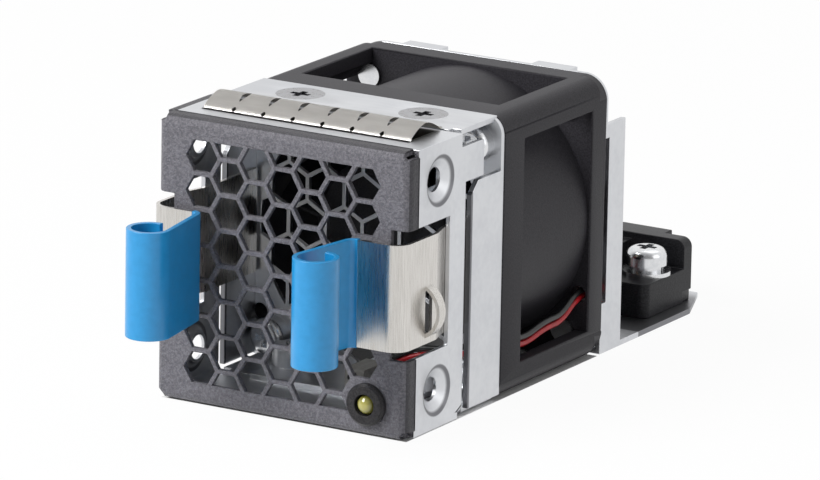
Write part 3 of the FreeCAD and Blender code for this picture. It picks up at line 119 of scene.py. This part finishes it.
class Finish:
    """A surface finish: one shader, and the nodes that feed it. Its coordinates are the tray's own."""

    def __init__(self, tree):
        self.tree = tree

    def fill(self, socket, value):
        """Give an input socket a link, or a value of its own."""
        if isinstance(value, Link):
            self.tree.links.new(value.socket, socket)
        else:
            socket.default_value = value

    def node(self, kind, settings=None, *inputs, output=0, **named):
        """A new node's output. The inputs come in the node's own order, or by name."""
        node = self.tree.nodes.new(kind)
        for setting, value in (settings or {}).items():
            setattr(node, setting, value)
        for key, value in list(enumerate(inputs)) + list(named.items()):
            self.fill(node.inputs[key], value)
        return Link(self, node.outputs[output])

    def mix(self, share, first, last):
        """The colour first where share is 0, and last where it is 1."""
        node = self.tree.nodes.new("ShaderNodeMix")
        node.data_type = "RGBA"
        for key, value in ((0, share), (6, first), (7, last)):
            self.fill(node.inputs[key], value)
        return Link(self, node.outputs[2])

    def ray(self, kind):
        """1 for rays of one kind, such as Camera, Glossy or Transmission, and 0 for others."""
        return self.node("ShaderNodeLightPath", output="Is " + kind + " Ray")

    def place(self):
        return self.node("ShaderNodeTexCoord", output="Object")

    def axis(self, name):
        """How far along the tray's X, Y or Z a point lies, in metres."""
        return self.node("ShaderNodeSeparateXYZ", None, self.place(), output=name)

    def stretched(self, x, y, z):
        """The tray's coordinates, longer along some axes, for grain that runs one way."""
        return self.node("ShaderNodeMapping", None, Vector=self.place(), Scale=(x, y, z))

    def noise(self, grain, detail=2.0, where=None):
        """Soft noise between 0 and 1, whose lumps are about grain metres across."""
        settings = {"noise_dimensions": "3D"}
        return self.node("ShaderNodeTexNoise", settings, Vector=where or self.place(), Scale=1 / grain,
                         Detail=detail)


def rgb(red, green, blue):
    return (red, green, blue, 1.0)


def surface(name, color, roughness, metallic=0.0, **sockets):
    """A named finish with its shader's own values set."""
    material = bpy.data.materials.new(name)
    material.use_nodes = True
    finish = Finish(material.node_tree)
    finish.material = material
    finish.shader = material.node_tree.nodes["Principled BSDF"]
    feed(finish, base_color=color, roughness=roughness, metallic=metallic, **sockets)
    return finish


def feed(finish, **sockets):
    """Give the shader's sockets values or links. base_color feeds Base Color, and so on."""
    for name, value in sockets.items():
        finish.fill(finish.shader.inputs[name.replace("_", " ").title().replace("Ior", "IOR")], value)


def relief(finish, height, depth, strength=1.0):
    """Bump from a height between 0 and 1 that stands for a depth in metres."""
    normal = finish.node("ShaderNodeBump", None, Strength=strength, Distance=depth, Height=height)
    feed(finish, normal=normal)


WORLD_FOR_LIGHT = 0.25
ROOM_DIM = 0.30
ROOM_END, WHITE_START = -0.75, 0.25
world = bpy.data.worlds.new("studio")
world.use_nodes = True
bpy.context.scene.world = world
sky = Finish(world.node_tree)
background = world.node_tree.nodes["Background"]
direction = sky.node("ShaderNodeTexCoord", output="Generated")
toward_back = sky.node("ShaderNodeSeparateXYZ", None, direction, output="Y")
white_share = toward_back.between(ROOM_END, WHITE_START) * (1 - ROOM_DIM) + ROOM_DIM
mirrored = sky.ray("Glossy")
direct = sky.ray("Camera").math("MAXIMUM", sky.ray("Transmission"))
strength = direct + (1 - direct) * (mirrored * white_share + (1 - mirrored) * WORLD_FOR_LIGHT)
sky.fill(background.inputs["Strength"], strength)
sky.fill(background.inputs["Color"], rgb(1, 1, 1))
bpy.context.scene.view_settings.view_transform = "Standard"


def lamp(name, place, width, power):
    """A square soft lamp that faces the tray."""
    item = bpy.data.objects.new(name, bpy.data.lights.new(name, "AREA"))
    item.data.size = width
    item.data.energy = power
    item.location = place
    item.rotation_euler = (Vector(place) - aim_point).to_track_quat("Z", "Y").to_euler()
    bpy.context.collection.objects.link(item)


lamp("key_lamp", (-0.42, -0.62, 0.62), 0.55, 10.5)
lamp("side_lamp", (0.85, -0.05, 0.35), 0.60, 0.9)
lamp("top_lamp", (0.05, 0.35, 0.85), 0.60, 0.8)

FLOOR_HALF, FLOOR_DROP = 3.0, 0.0002
FLOOR_GLOW = 0.95
FOOTPRINT_HALF, FOOTPRINT_FROM, FOOTPRINT_TO = 0.0195, 0.001, 0.017
floor_mesh = bmesh.new()
bmesh.ops.create_grid(floor_mesh, x_segments=1, y_segments=1, size=FLOOR_HALF)
floor_data = bpy.data.meshes.new("floor")
floor_mesh.to_mesh(floor_data)
floor_mesh.free()
floor = bpy.data.objects.new("floor", floor_data)
floor.location.z = -FLOOR_DROP
bpy.context.collection.objects.link(floor)
floor_finish = surface("white_sweep", rgb(0.9, 0.9, 0.9), 0.9)
glow = floor_finish.node("ShaderNodeEmission", None, rgb(1, 1, 1), 1.0)
looked_at = floor_finish.ray("Camera").math("MAXIMUM", floor_finish.ray("Glossy"))
looked_at = looked_at.math("MAXIMUM", floor_finish.ray("Transmission"))
under_tray = ((floor_finish.axis("X").math("ABSOLUTE") < FOOTPRINT_HALF)
              * (floor_finish.axis("Y") > face_y + FOOTPRINT_FROM) * (floor_finish.axis("Y") < FOOTPRINT_TO))
floor_paint = Link(floor_finish, floor_finish.shader.outputs[0])
floor_shader = floor_finish.node("ShaderNodeMixShader", None, looked_at * (1 - under_tray) * FLOOR_GLOW,
                                 floor_paint, glow)
floor_finish.fill(floor_finish.tree.nodes["Material Output"].inputs["Surface"], floor_shader)
floor.data.materials.append(floor_finish.material)


# Front shell: one folded zinc-plated sheet. Its face and the first 2.5 mm of its sides carry a dark grey
# powder coat with a fine leathery texture, masked off in a straight line. The coat is painted darker on the
# returns as painted shade, and its dark colour is painted on along the left edge of the top as painted shade
# on the seam there. The rest stays plated, with painted shade round the side dimples and under the gasket
# strip.
COAT_EDGE_Y = face_y + 0.0025
LEATHER_GRAIN, FINE_GRAIN, COAT_RELIEF = 0.00030, 0.00013, 0.00032
SPECK_SHARE, RETURN_SHADE_SHARE, PAINTED_SHADE_SHARE = 0.6, 0.72, 0.85
COAT_LOW = rgb(0.104, 0.101, 0.115)
COAT_HIGH = rgb(0.182, 0.177, 0.198)
COAT_SPECK = rgb(0.34, 0.335, 0.36)
RETURN_SHADE = rgb(0.030, 0.029, 0.033)
ZINC_BRIGHT = rgb(0.66, 0.67, 0.69)
ZINC_DULL = rgb(0.59, 0.60, 0.625)
PAINTED_SHADE_GREY = rgb(0.10, 0.10, 0.11)
SHADOW_UNDER_STRIP = rgb(0.03, 0.03, 0.03)
AXIS_Z = 0.020
DIMPLE_Y, DIMPLE_RISE, DIMPLE_RADIUS = face_y + 0.0082, 0.0146, 0.0035
RING_STARTS, RING_ENDS = (0.80, 0.92), (0.99, 1.06)
SHELL_HALF, SHELL_TOP = 0.0199, 0.0397
SHEET_SKIN = 0.0003
RIM_WIDE = 0.0013
STRIP_FROM, STRIP_TO, STRIP_HALF = face_y + 0.0066, face_y + 0.0130, 0.0160


def zinc_cloud(finish):
    """The soft patches of a zinc plated sheet: wide clouds, with a faint rolled grain along X."""
    cloud = finish.noise(0.009, 3.0)
    grain = finish.noise(0.0009, 2.0, finish.stretched(0.12, 1.0, 1.0))
    return cloud * 0.65 + grain * 0.35


def zinc_tone(finish, cloud):
    return finish.mix(cloud.between(0.35, 0.65), ZINC_DULL, ZINC_BRIGHT)


def reach(across, along):
    """How far a point lies from a middle, from its two distances to it."""
    return (across * across + along * along).math("POWER", 0.5)


def shade_ring(across, along, radius):
    """1 on the ring of painted shade where a dimple's edge turns down, from the two distances to its middle.
    """
    distance = reach(across, along)
    starts, ends = [[share * radius for share in shares] for shares in (RING_STARTS, RING_ENDS)]
    return distance.between(*starts) * (1 - distance.between(*ends))


def coated_sheet():
    """The shell's finish: coat on its face and the front of its returns, and bare zinc on the rest."""
    finish = surface("powder_coat_and_zinc", COAT_LOW, 0.5)
    on_top = finish.axis("Z") > SHELL_TOP
    # Painted shade: the dark coat is painted along the left edge of the top, where the seam shows dark.
    seam_shade = (finish.axis("X") < RIM_WIDE - SHELL_HALF) * on_top * (finish.axis("Y") < STRIP_TO)
    bare = (finish.axis("Y") > COAT_EDGE_Y) * (1 - seam_shade)
    painted = 1 - bare
    returns = on_top.math("MAXIMUM", finish.axis("X").math("ABSOLUTE") > SHELL_HALF - SHEET_SKIN)
    leather = finish.noise(LEATHER_GRAIN, 3.0)
    fine = finish.noise(FINE_GRAIN, 2.0)
    skin = leather * 0.6 + fine * 0.4
    speck = fine.between(0.60, 0.72) * leather.between(0.45, 0.60)
    coat = finish.mix(skin.between(0.38, 0.62), COAT_LOW, COAT_HIGH)
    coat = finish.mix(speck * SPECK_SHARE, coat, COAT_SPECK)
    # Painted shade: the returns are painted darker than the face.
    coat = finish.mix(returns * RETURN_SHADE_SHARE, coat, RETURN_SHADE)
    # Painted shade: a dark ring where each side dimple's edge turns down.
    level = (finish.axis("Z") - AXIS_Z).math("ABSOLUTE")
    ring = shade_ring(level - DIMPLE_RISE, finish.axis("Y") - DIMPLE_Y, DIMPLE_RADIUS)
    # Painted shadow: a dark band on the top of the shell, under the gasket strip.
    strip_shadow = ((finish.axis("Y") > STRIP_FROM) * (finish.axis("Y") < STRIP_TO)
                   * on_top * (finish.axis("X").math("ABSOLUTE") < STRIP_HALF))
    cloud = zinc_cloud(finish)
    metal = finish.mix(ring * PAINTED_SHADE_SHARE, zinc_tone(finish, cloud), PAINTED_SHADE_GREY)
    metal = finish.mix(strip_shadow, metal, SHADOW_UNDER_STRIP)
    feed(finish, base_color=finish.mix(bare, coat, metal), metallic=bare,
         roughness=bare * (0.32 + cloud * 0.12) + painted * (0.52 - skin * 0.2), specular_ior_level=0.32)
    relief(finish, skin * (painted * 0.99 + 0.01), COAT_RELIEF, 0.9)
    return finish


def piece(name, mesh, finish, body, slot, *nodes):
    """A finished piece on its body, in place of the solids named."""
    item = bpy.data.objects.new(name, mesh)
    bpy.context.collection.objects.link(item)
    mesh.materials.clear()
    mesh.materials.append(finish.material)
    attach(item, body)
    if nodes:
        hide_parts(*nodes)
    return item


def slot_of(node):
    return [row["material_slot"] for row in frame["record"]["subparts"] if row["node"] == node][0]


SAME_PLACE = 1e-6
FLAT_BELOW, SMOOTH_BELOW, ROUNDED_ABOVE = math.radians(0.5), math.radians(25), math.radians(62)


def softened(name, node, finish, edge, body="tray", steps=2, shortest=0.0):
    """The node's own form with its sharp edges rounded by edge metres, as a pressed or moulded piece has.
    Edges shorter than shortest stay sharp."""
    form = bmesh.new()
    form.from_mesh(frame["nodes"][node].data)
    bmesh.ops.remove_doubles(form, verts=form.verts, dist=SAME_PLACE)
    bmesh.ops.dissolve_limit(form, angle_limit=FLAT_BELOW, verts=form.verts, edges=form.edges)
    if shortest:
        weight = form.edges.layers.float.new("bevel_weight_edge")
        for line in form.edges:
            turned = line.calc_face_angle(0.0) > ROUNDED_ABOVE
            line[weight] = 1.0 if turned and line.calc_length() > shortest else 0.0
    mesh = bpy.data.meshes.new(name)
    form.to_mesh(mesh)
    form.free()
    item = piece(name, mesh, finish, body, slot_of(node), node)
    mesh.shade_smooth()
    mesh.set_sharp_from_angle(angle=SMOOTH_BELOW)
    bevel = item.modifiers.new("edges", "BEVEL")
    bevel.width = edge
    bevel.segments = steps
    bevel.limit_method = "WEIGHT" if shortest else "ANGLE"
    bevel.angle_limit = ROUNDED_ABOVE
    bevel.use_clamp_overlap = False
    bevel.harden_normals = True


softened("folded_shell", "front_shell", coated_sheet(), edge=0.00012)


# Shielding gasket: a thin spring-steel strip, arched over the shell's top and cut into fingers by short
# slits, with a faint straw tint from its heat treatment. Faces that point down, under the arch, carry painted
# shade.
def mottled(name, low, high, roughness, metallic=0.0, grain=0.0004, stretch=(1, 1, 1), depth=0.0,
            **sockets):
    """A finish whose colour and gloss drift between two close tones, with a fine relief if depth is set."""
    finish = surface(name, high, roughness, metallic, **sockets)
    drift = finish.noise(grain, 3.0, finish.stretched(*stretch))
    feed(finish, base_color=finish.mix(drift.between(0.3, 0.7), low, high),
         roughness=roughness - 0.05 + drift * 0.10)
    if depth:
        relief(finish, drift, depth)
    return finish


def overlay(finish, share, color):
    """Lay a colour over the finish's own where share is 1."""
    under = Link(finish, finish.shader.inputs["Base Color"].links[0].from_socket)
    feed(finish, base_color=finish.mix(share, under, color))


FINGERS = 7
STRIP_THICK = 0.00016
FOOT, HEEL = 0.0008, 0.3
REAR_MIDDLE, REAR_MIDDLE_LIFT, REAR_TIP_LIFT = 0.5, 0.10, 0.35
ARCH_STEPS, ARCH_SHARE, ARCH_POWER = 20, 0.80, 1.7
FOLD_RISE = 0.0003
STRIP_SHARP = math.radians(30)
SLIT_FROM, SLIT_TO, SLIT_WIDE = 4, 13, 0.00085
HOLE_FROM, HOLE_TO, HOLE_WIDE = -1, 1, 0.00070
JOINED = 0.00004
TAPER = 0.25
FACING_DOWN = -0.05
UNDERSIDE_SHADE = rgb(0.045, 0.043, 0.030)
gasket_low, gasket_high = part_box("emi_gasket")


def arch_rows():
    """The strip's middle line seen from its end: (Y, Z, step), where the arch's own steps start at 0."""
    low = gasket_low.z + STRIP_THICK / 2
    start, end = gasket_low.y + FOOT, gasket_high.y - FOOT
    half_span = (end - start) / 2
    rise = (gasket_high.z - STRIP_THICK - gasket_low.z) * ARCH_SHARE - FOLD_RISE
    rows = [(gasket_low.y, low, -2), (start - FOOT * HEEL, low, -1)]
    for step in range(ARCH_STEPS + 1):
        share = 2 * step / ARCH_STEPS - 1
        height = FOLD_RISE + rise * (1 - abs(share) ** ARCH_POWER)
        rows.append((start + half_span * (1 + share), low + height, step))
    rows.append((end + FOOT * REAR_MIDDLE, low + FOOT * REAR_MIDDLE_LIFT, ARCH_STEPS + 1))
    rows.append((gasket_high.y, low + FOOT * REAR_TIP_LIFT, ARCH_STEPS + 2))
    return rows


def opening(step):
    """How wide the gap between two fingers is at a step, and whether it is cut through from there."""
    for first, last, wide in ((SLIT_FROM, SLIT_TO, SLIT_WIDE), (HOLE_FROM, HOLE_TO, HOLE_WIDE)):
        if first <= step <= last:
            share = math.sin(math.pi * (step - first + TAPER) / (last - first + 2 * TAPER))
            return JOINED + (wide - JOINED) * share, step < last
    return JOINED, False


def finger_strip():
    """The strip as two columns of points to each finger, joined across the fingers and at their roots."""
    rows = arch_rows()
    width = gasket_high.x - gasket_low.x
    form = bmesh.new()
    columns = []
    for finger in range(FINGERS):
        for end in (0, 1):
            outer = finger + end in (0, FINGERS)
            line = []
            for y, z, step in rows:
                gap = 0 if outer else opening(step)[0] / 2
                x = gasket_low.x + (finger + end) * width / FINGERS + (gap if end == 0 else -gap)
                line.append(form.verts.new((x, y, z)))
            columns.append(line)
    for column in range(len(columns) - 1):
        between_fingers = column % 2 == 1
        for row in range(len(rows) - 1):
            if between_fingers and opening(rows[row][2])[1]:
                continue
            left, right = columns[column], columns[column + 1]
            form.faces.new((left[row], right[row], right[row + 1], left[row + 1]))
    bmesh.ops.solidify(form, geom=form.faces, thickness=STRIP_THICK)
    bmesh.ops.recalc_face_normals(form, faces=form.faces)
    mesh = bpy.data.meshes.new("gasket_fingers")
    form.to_mesh(mesh)
    form.free()
    mesh.shade_smooth()
    mesh.set_sharp_from_angle(angle=STRIP_SHARP)
    return mesh


spring_steel = mottled("spring_steel", rgb(0.76, 0.735, 0.70), rgb(0.84, 0.815, 0.78), 0.34, metallic=1.0,
                       grain=0.0012, stretch=(0.2, 1, 1), depth=0.000006)
# Painted shade: faces that point down, under the arch, are painted dark olive.
facing = spring_steel.node("ShaderNodeNewGeometry", output="True Normal")
overlay(spring_steel, spring_steel.node("ShaderNodeSeparateXYZ", None, facing, output="Z") < FACING_DOWN,
        UNDERSIDE_SHADE)
piece("gasket_fingers", finger_strip(), spring_steel, "tray", slot_of("emi_gasket"), "emi_gasket")


# Fan bracket: a zinc-plated sheet folded round the fan's front, with a finger guard of thin hexagons cut
# through it. Countersunk screws pull it to the shell's flanges, above and below.
def dress(finish, *nodes):
    """Give solids that keep their own form the finish of the real piece."""
    for node in nodes:
        data = frame["nodes"][node].data
        data.materials.clear()
        data.materials.append(finish.material)


def plated(name):
    """The zinc plated sheet without any coat."""
    finish = surface(name, ZINC_BRIGHT, 0.36, metallic=1.0)
    cloud = zinc_cloud(finish)
    feed(finish, base_color=zinc_tone(finish, cloud), roughness=0.31 + cloud * 0.12)
    relief(finish, finish.noise(0.0006, 3.0), 0.000006)
    return finish


screw_low, screw_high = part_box("top_bracket_screws")
screw_radius = (screw_high.y - screw_low.y) / 2
screw_x = screw_high.x - screw_radius
screw_y = (screw_high.y + screw_low.y) / 2
COUNTERSINK_SHARE = 0.97
SIDE_EDGE_X, SIDE_EDGE_Y, SIDE_EDGE_TOP = 0.0185, face_y + 0.0168, 0.0390
bracket_zinc = plated("zinc_sheet")
# Painted shade: a dark ring round each countersunk screw, and darkened front edges on the side panels, where
# the gap to the shell lies in shade.
aside = bracket_zinc.axis("X").math("ABSOLUTE") - screw_x
countersink_shade = shade_ring(aside, bracket_zinc.axis("Y") - screw_y, screw_radius * COUNTERSINK_SHARE)
edge = ((bracket_zinc.axis("Y") < SIDE_EDGE_Y) * (bracket_zinc.axis("Z") < SIDE_EDGE_TOP)
        * (bracket_zinc.axis("X").math("ABSOLUTE") > SIDE_EDGE_X))
overlay(bracket_zinc, countersink_shade.math("MAXIMUM", edge) * PAINTED_SHADE_SHARE, PAINTED_SHADE_GREY)
softened("guard_bracket", "fan_bracket", bracket_zinc, edge=0.00010)
dull_screw = mottled("passivated_screw", rgb(0.29, 0.29, 0.30), rgb(0.37, 0.37, 0.39), 0.28, metallic=1.0,
                     grain=0.0010)
dress(dull_screw, "top_bracket_screws", "bottom_bracket_screws")


# Fan frame: black glass-filled polyester, moulded with four corner posts, spark-eroded to a fine matt.
def moulded(name, low, high, roughness, grain=0.00022, depth=0.000025, gloss=0.18):
    """A black plastic, moulded in a tool with a fine eroded surface."""
    return mottled(name, low, high, roughness, grain=grain, depth=depth, specular_ior_level=gloss)


fan_black = moulded("fan_plastic", rgb(0.020, 0.019, 0.0225), rgb(0.037, 0.035, 0.041), 0.46)
softened("moulded_fan_frame", "fan_housing", fan_black, edge=0.00022, shortest=0.006)
blade_black = moulded("blade_plastic", rgb(0.016, 0.0155, 0.0175), rgb(0.028, 0.027, 0.031), 0.38)
dress(blade_black, "impeller")


# Fan motor: a stator of stacked steel sheets with enamelled copper on it, on a brass tube with two ball
# bearings, inside a cup that holds a bonded ring magnet. Its small board carries the driver chips.
def banded(name, low, high, roughness, period):
    """A metal with fine bands along the motor's axis, such as stacked sheets or the turns of a winding."""
    finish = surface(name, high, roughness, metallic=1.0)
    settings = {"wave_type": "BANDS", "bands_direction": "Y"}
    band = finish.node("ShaderNodeTexWave", settings, Vector=finish.place(), Scale=math.tau / (20 * period),
                       Distortion=0.4)
    feed(finish, base_color=finish.mix(band, low, high), roughness=roughness + band * 0.1)
    relief(finish, band, 0.00003)
    return finish


TURNED = (1, 0.1, 1)
dress(banded("stacked_sheets", rgb(0.20, 0.20, 0.21), rgb(0.42, 0.42, 0.43), 0.35, period=0.00035),
      "stator_core")
dress(banded("enamelled_copper", rgb(0.32, 0.10, 0.03), rgb(0.72, 0.30, 0.12), 0.3, period=0.00028),
      "stator_windings")
dress(mottled("drawn_cup_steel", rgb(0.36, 0.36, 0.37), rgb(0.50, 0.50, 0.51), 0.34, metallic=1.0),
      "rotor_cup")
dress(mottled("turned_brass", rgb(0.66, 0.46, 0.19), rgb(0.75, 0.54, 0.24), 0.26, metallic=1.0,
              grain=0.0008, stretch=TURNED), "bearing_tube")
dress(mottled("ground_steel", rgb(0.64, 0.64, 0.65), rgb(0.71, 0.71, 0.72), 0.2, metallic=1.0,
              grain=0.0008, stretch=TURNED), "front_bearing", "rear_bearing", "rotor_shaft", "retaining_clip")
dress(mottled("bonded_magnet", rgb(0.035, 0.035, 0.038), rgb(0.075, 0.075, 0.08), 0.55, grain=0.00025,
              depth=0.00001), "ring_magnet")
dress(mottled("board_green", rgb(0.006, 0.055, 0.020), rgb(0.012, 0.115, 0.045), 0.3, grain=0.0009),
      "motor_board")
dress(moulded("chip_epoxy", rgb(0.012, 0.012, 0.013), rgb(0.03, 0.03, 0.032), 0.5), "board_chips")


# Fan screws: plated pan-head screws on flat washers, through the bracket and the fan's corner holes.
screw_zinc = mottled("screw_zinc", rgb(0.67, 0.68, 0.70), rgb(0.74, 0.745, 0.755), 0.22, metallic=1.0,
                     grain=0.0009)
dress(screw_zinc, "fan_screws", "fan_screw_washers")


# Rear bracket: the same zinc-plated sheet, folded into a plate behind the fan, a slotted strip on each
# side and a floor that carries the plug. Screws hold it to the fan's rear corners.
FLOOR_TOP = 0.0012
SHADE_START, TIP_LENGTH, FLOOR_SHADE = 0.006, 0.004, 0.8
rear_zinc = plated("rear_zinc_sheet")
rear_low, rear_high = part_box("connector_body")
# Painted shade: the floor is painted darker from 6 mm in front of the plug, fading out over the plug's last 4
# mm.
on_floor = (rear_zinc.axis("Z") < FLOOR_TOP) * (rear_zinc.axis("Y") > rear_low.y - SHADE_START)
shaded = on_floor * (1 - rear_zinc.axis("Y").between(rear_high.y - TIP_LENGTH, rear_high.y))
overlay(rear_zinc, shaded * FLOOR_SHADE, PAINTED_SHADE_GREY)
softened("strip_bracket", "rear_bracket", rear_zinc, edge=0.00010)
dress(screw_zinc, "rear_screws")


# Plug: a black glass-filled moulding with an ear at each end, and six gold-flashed contacts inside.
# A screw with a flat and a spring washer holds each ear to the floor.
plug_black = moulded("connector_plastic", rgb(0.010, 0.010, 0.012), rgb(0.026, 0.026, 0.030), 0.36)
softened("plug_moulding", "connector_body", plug_black, edge=0.00014)
dress(mottled("gold_flash", rgb(0.66, 0.46, 0.18), rgb(0.85, 0.63, 0.30), 0.24, metallic=1.0),
      "connector_contacts")
dress(screw_zinc, "connector_screws", "connector_washers", "connector_spring_washers")


# Indicator lamp: a charcoal snap-in ring, and a yellow-green lens that is darker round its edge. Two
# sleeved leads come from it, and a small nylon plug takes its wires behind the grille.
ring_low, ring_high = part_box("lamp_ring")
lamp_middle = (ring_low + ring_high) / 2
LENS_RADIUS, LENS_CORE = 0.00145, 0.25
ring_black = moulded("lamp_ring_plastic", rgb(0.018, 0.017, 0.018), rgb(0.042, 0.040, 0.042), 0.34)
softened("lamp_flange", "lamp_ring", ring_black, edge=0.00010)
lens = surface("lens_resin", rgb(0.30, 0.27, 0.06), 0.10, coat_weight=1.0, coat_roughness=0.03)
from_axis = reach(lens.axis("X") - lamp_middle.x, lens.axis("Z") - lamp_middle.z)
feed(lens, base_color=lens.mix(from_axis.between(LENS_RADIUS * LENS_CORE, LENS_RADIUS),
                               rgb(0.44, 0.40, 0.10), rgb(0.13, 0.125, 0.02)))
dress(lens, "lamp_lens")
dress(moulded("lead_sleeve", rgb(0.010, 0.010, 0.010), rgb(0.020, 0.020, 0.020), 0.36), "lamp_leads")
# Painted shade: the nylon plug is given a dark grey, for the shade it sits in behind the grille.
dress(mottled("nylon_in_painted_shade", rgb(0.17, 0.165, 0.155), rgb(0.24, 0.235, 0.22), 0.42, grain=0.0008),
      "lamp_plug")


# Wires: stranded copper in smooth vinyl sleeves. Red and black feed the lamp. Blue, yellow, black and red
# run from the fan's board to the plug.
SLEEVES = {"red": (rgb(0.40, 0.008, 0.014), rgb(0.58, 0.014, 0.022)),
           "black": (rgb(0.008, 0.008, 0.008), rgb(0.018, 0.018, 0.018)),
           "blue": (rgb(0.014, 0.05, 0.30), rgb(0.022, 0.08, 0.42)),
           "yellow": (rgb(0.60, 0.42, 0.015), rgb(0.76, 0.55, 0.025))}
for colour_name, (low, high) in SLEEVES.items():
    sleeve = mottled("sleeve_" + colour_name, low, high, 0.36, grain=0.0011)
    dress(sleeve, *[node for node in frame["nodes"] if node.endswith("wire_" + colour_name)])


# Latches: stainless leaf springs with a lanced catch, welded inside the shell's side tabs. Each curls into
# a finger grip at the front, dip-coated in blue vinyl.
leaf_steel = mottled("leaf_steel", rgb(0.57, 0.55, 0.52), rgb(0.68, 0.66, 0.63), 0.28, metallic=1.0,
                     grain=0.00016, stretch=(1, 1, 0.04), depth=0.000005)
dress(leaf_steel, "right_latch_leaf", "left_latch_leaf")
grip_blue = mottled("grip_vinyl", rgb(0.010, 0.255, 0.56), rgb(0.014, 0.275, 0.60), 0.33, grain=0.0012,
                    coat_weight=0.25, coat_roughness=0.25)
for side in ("right", "left"):
    softened(side + "_vinyl_grip", side + "_grip_coat", grip_blue, edge=0.00011, body=side + "_latch", steps=3)
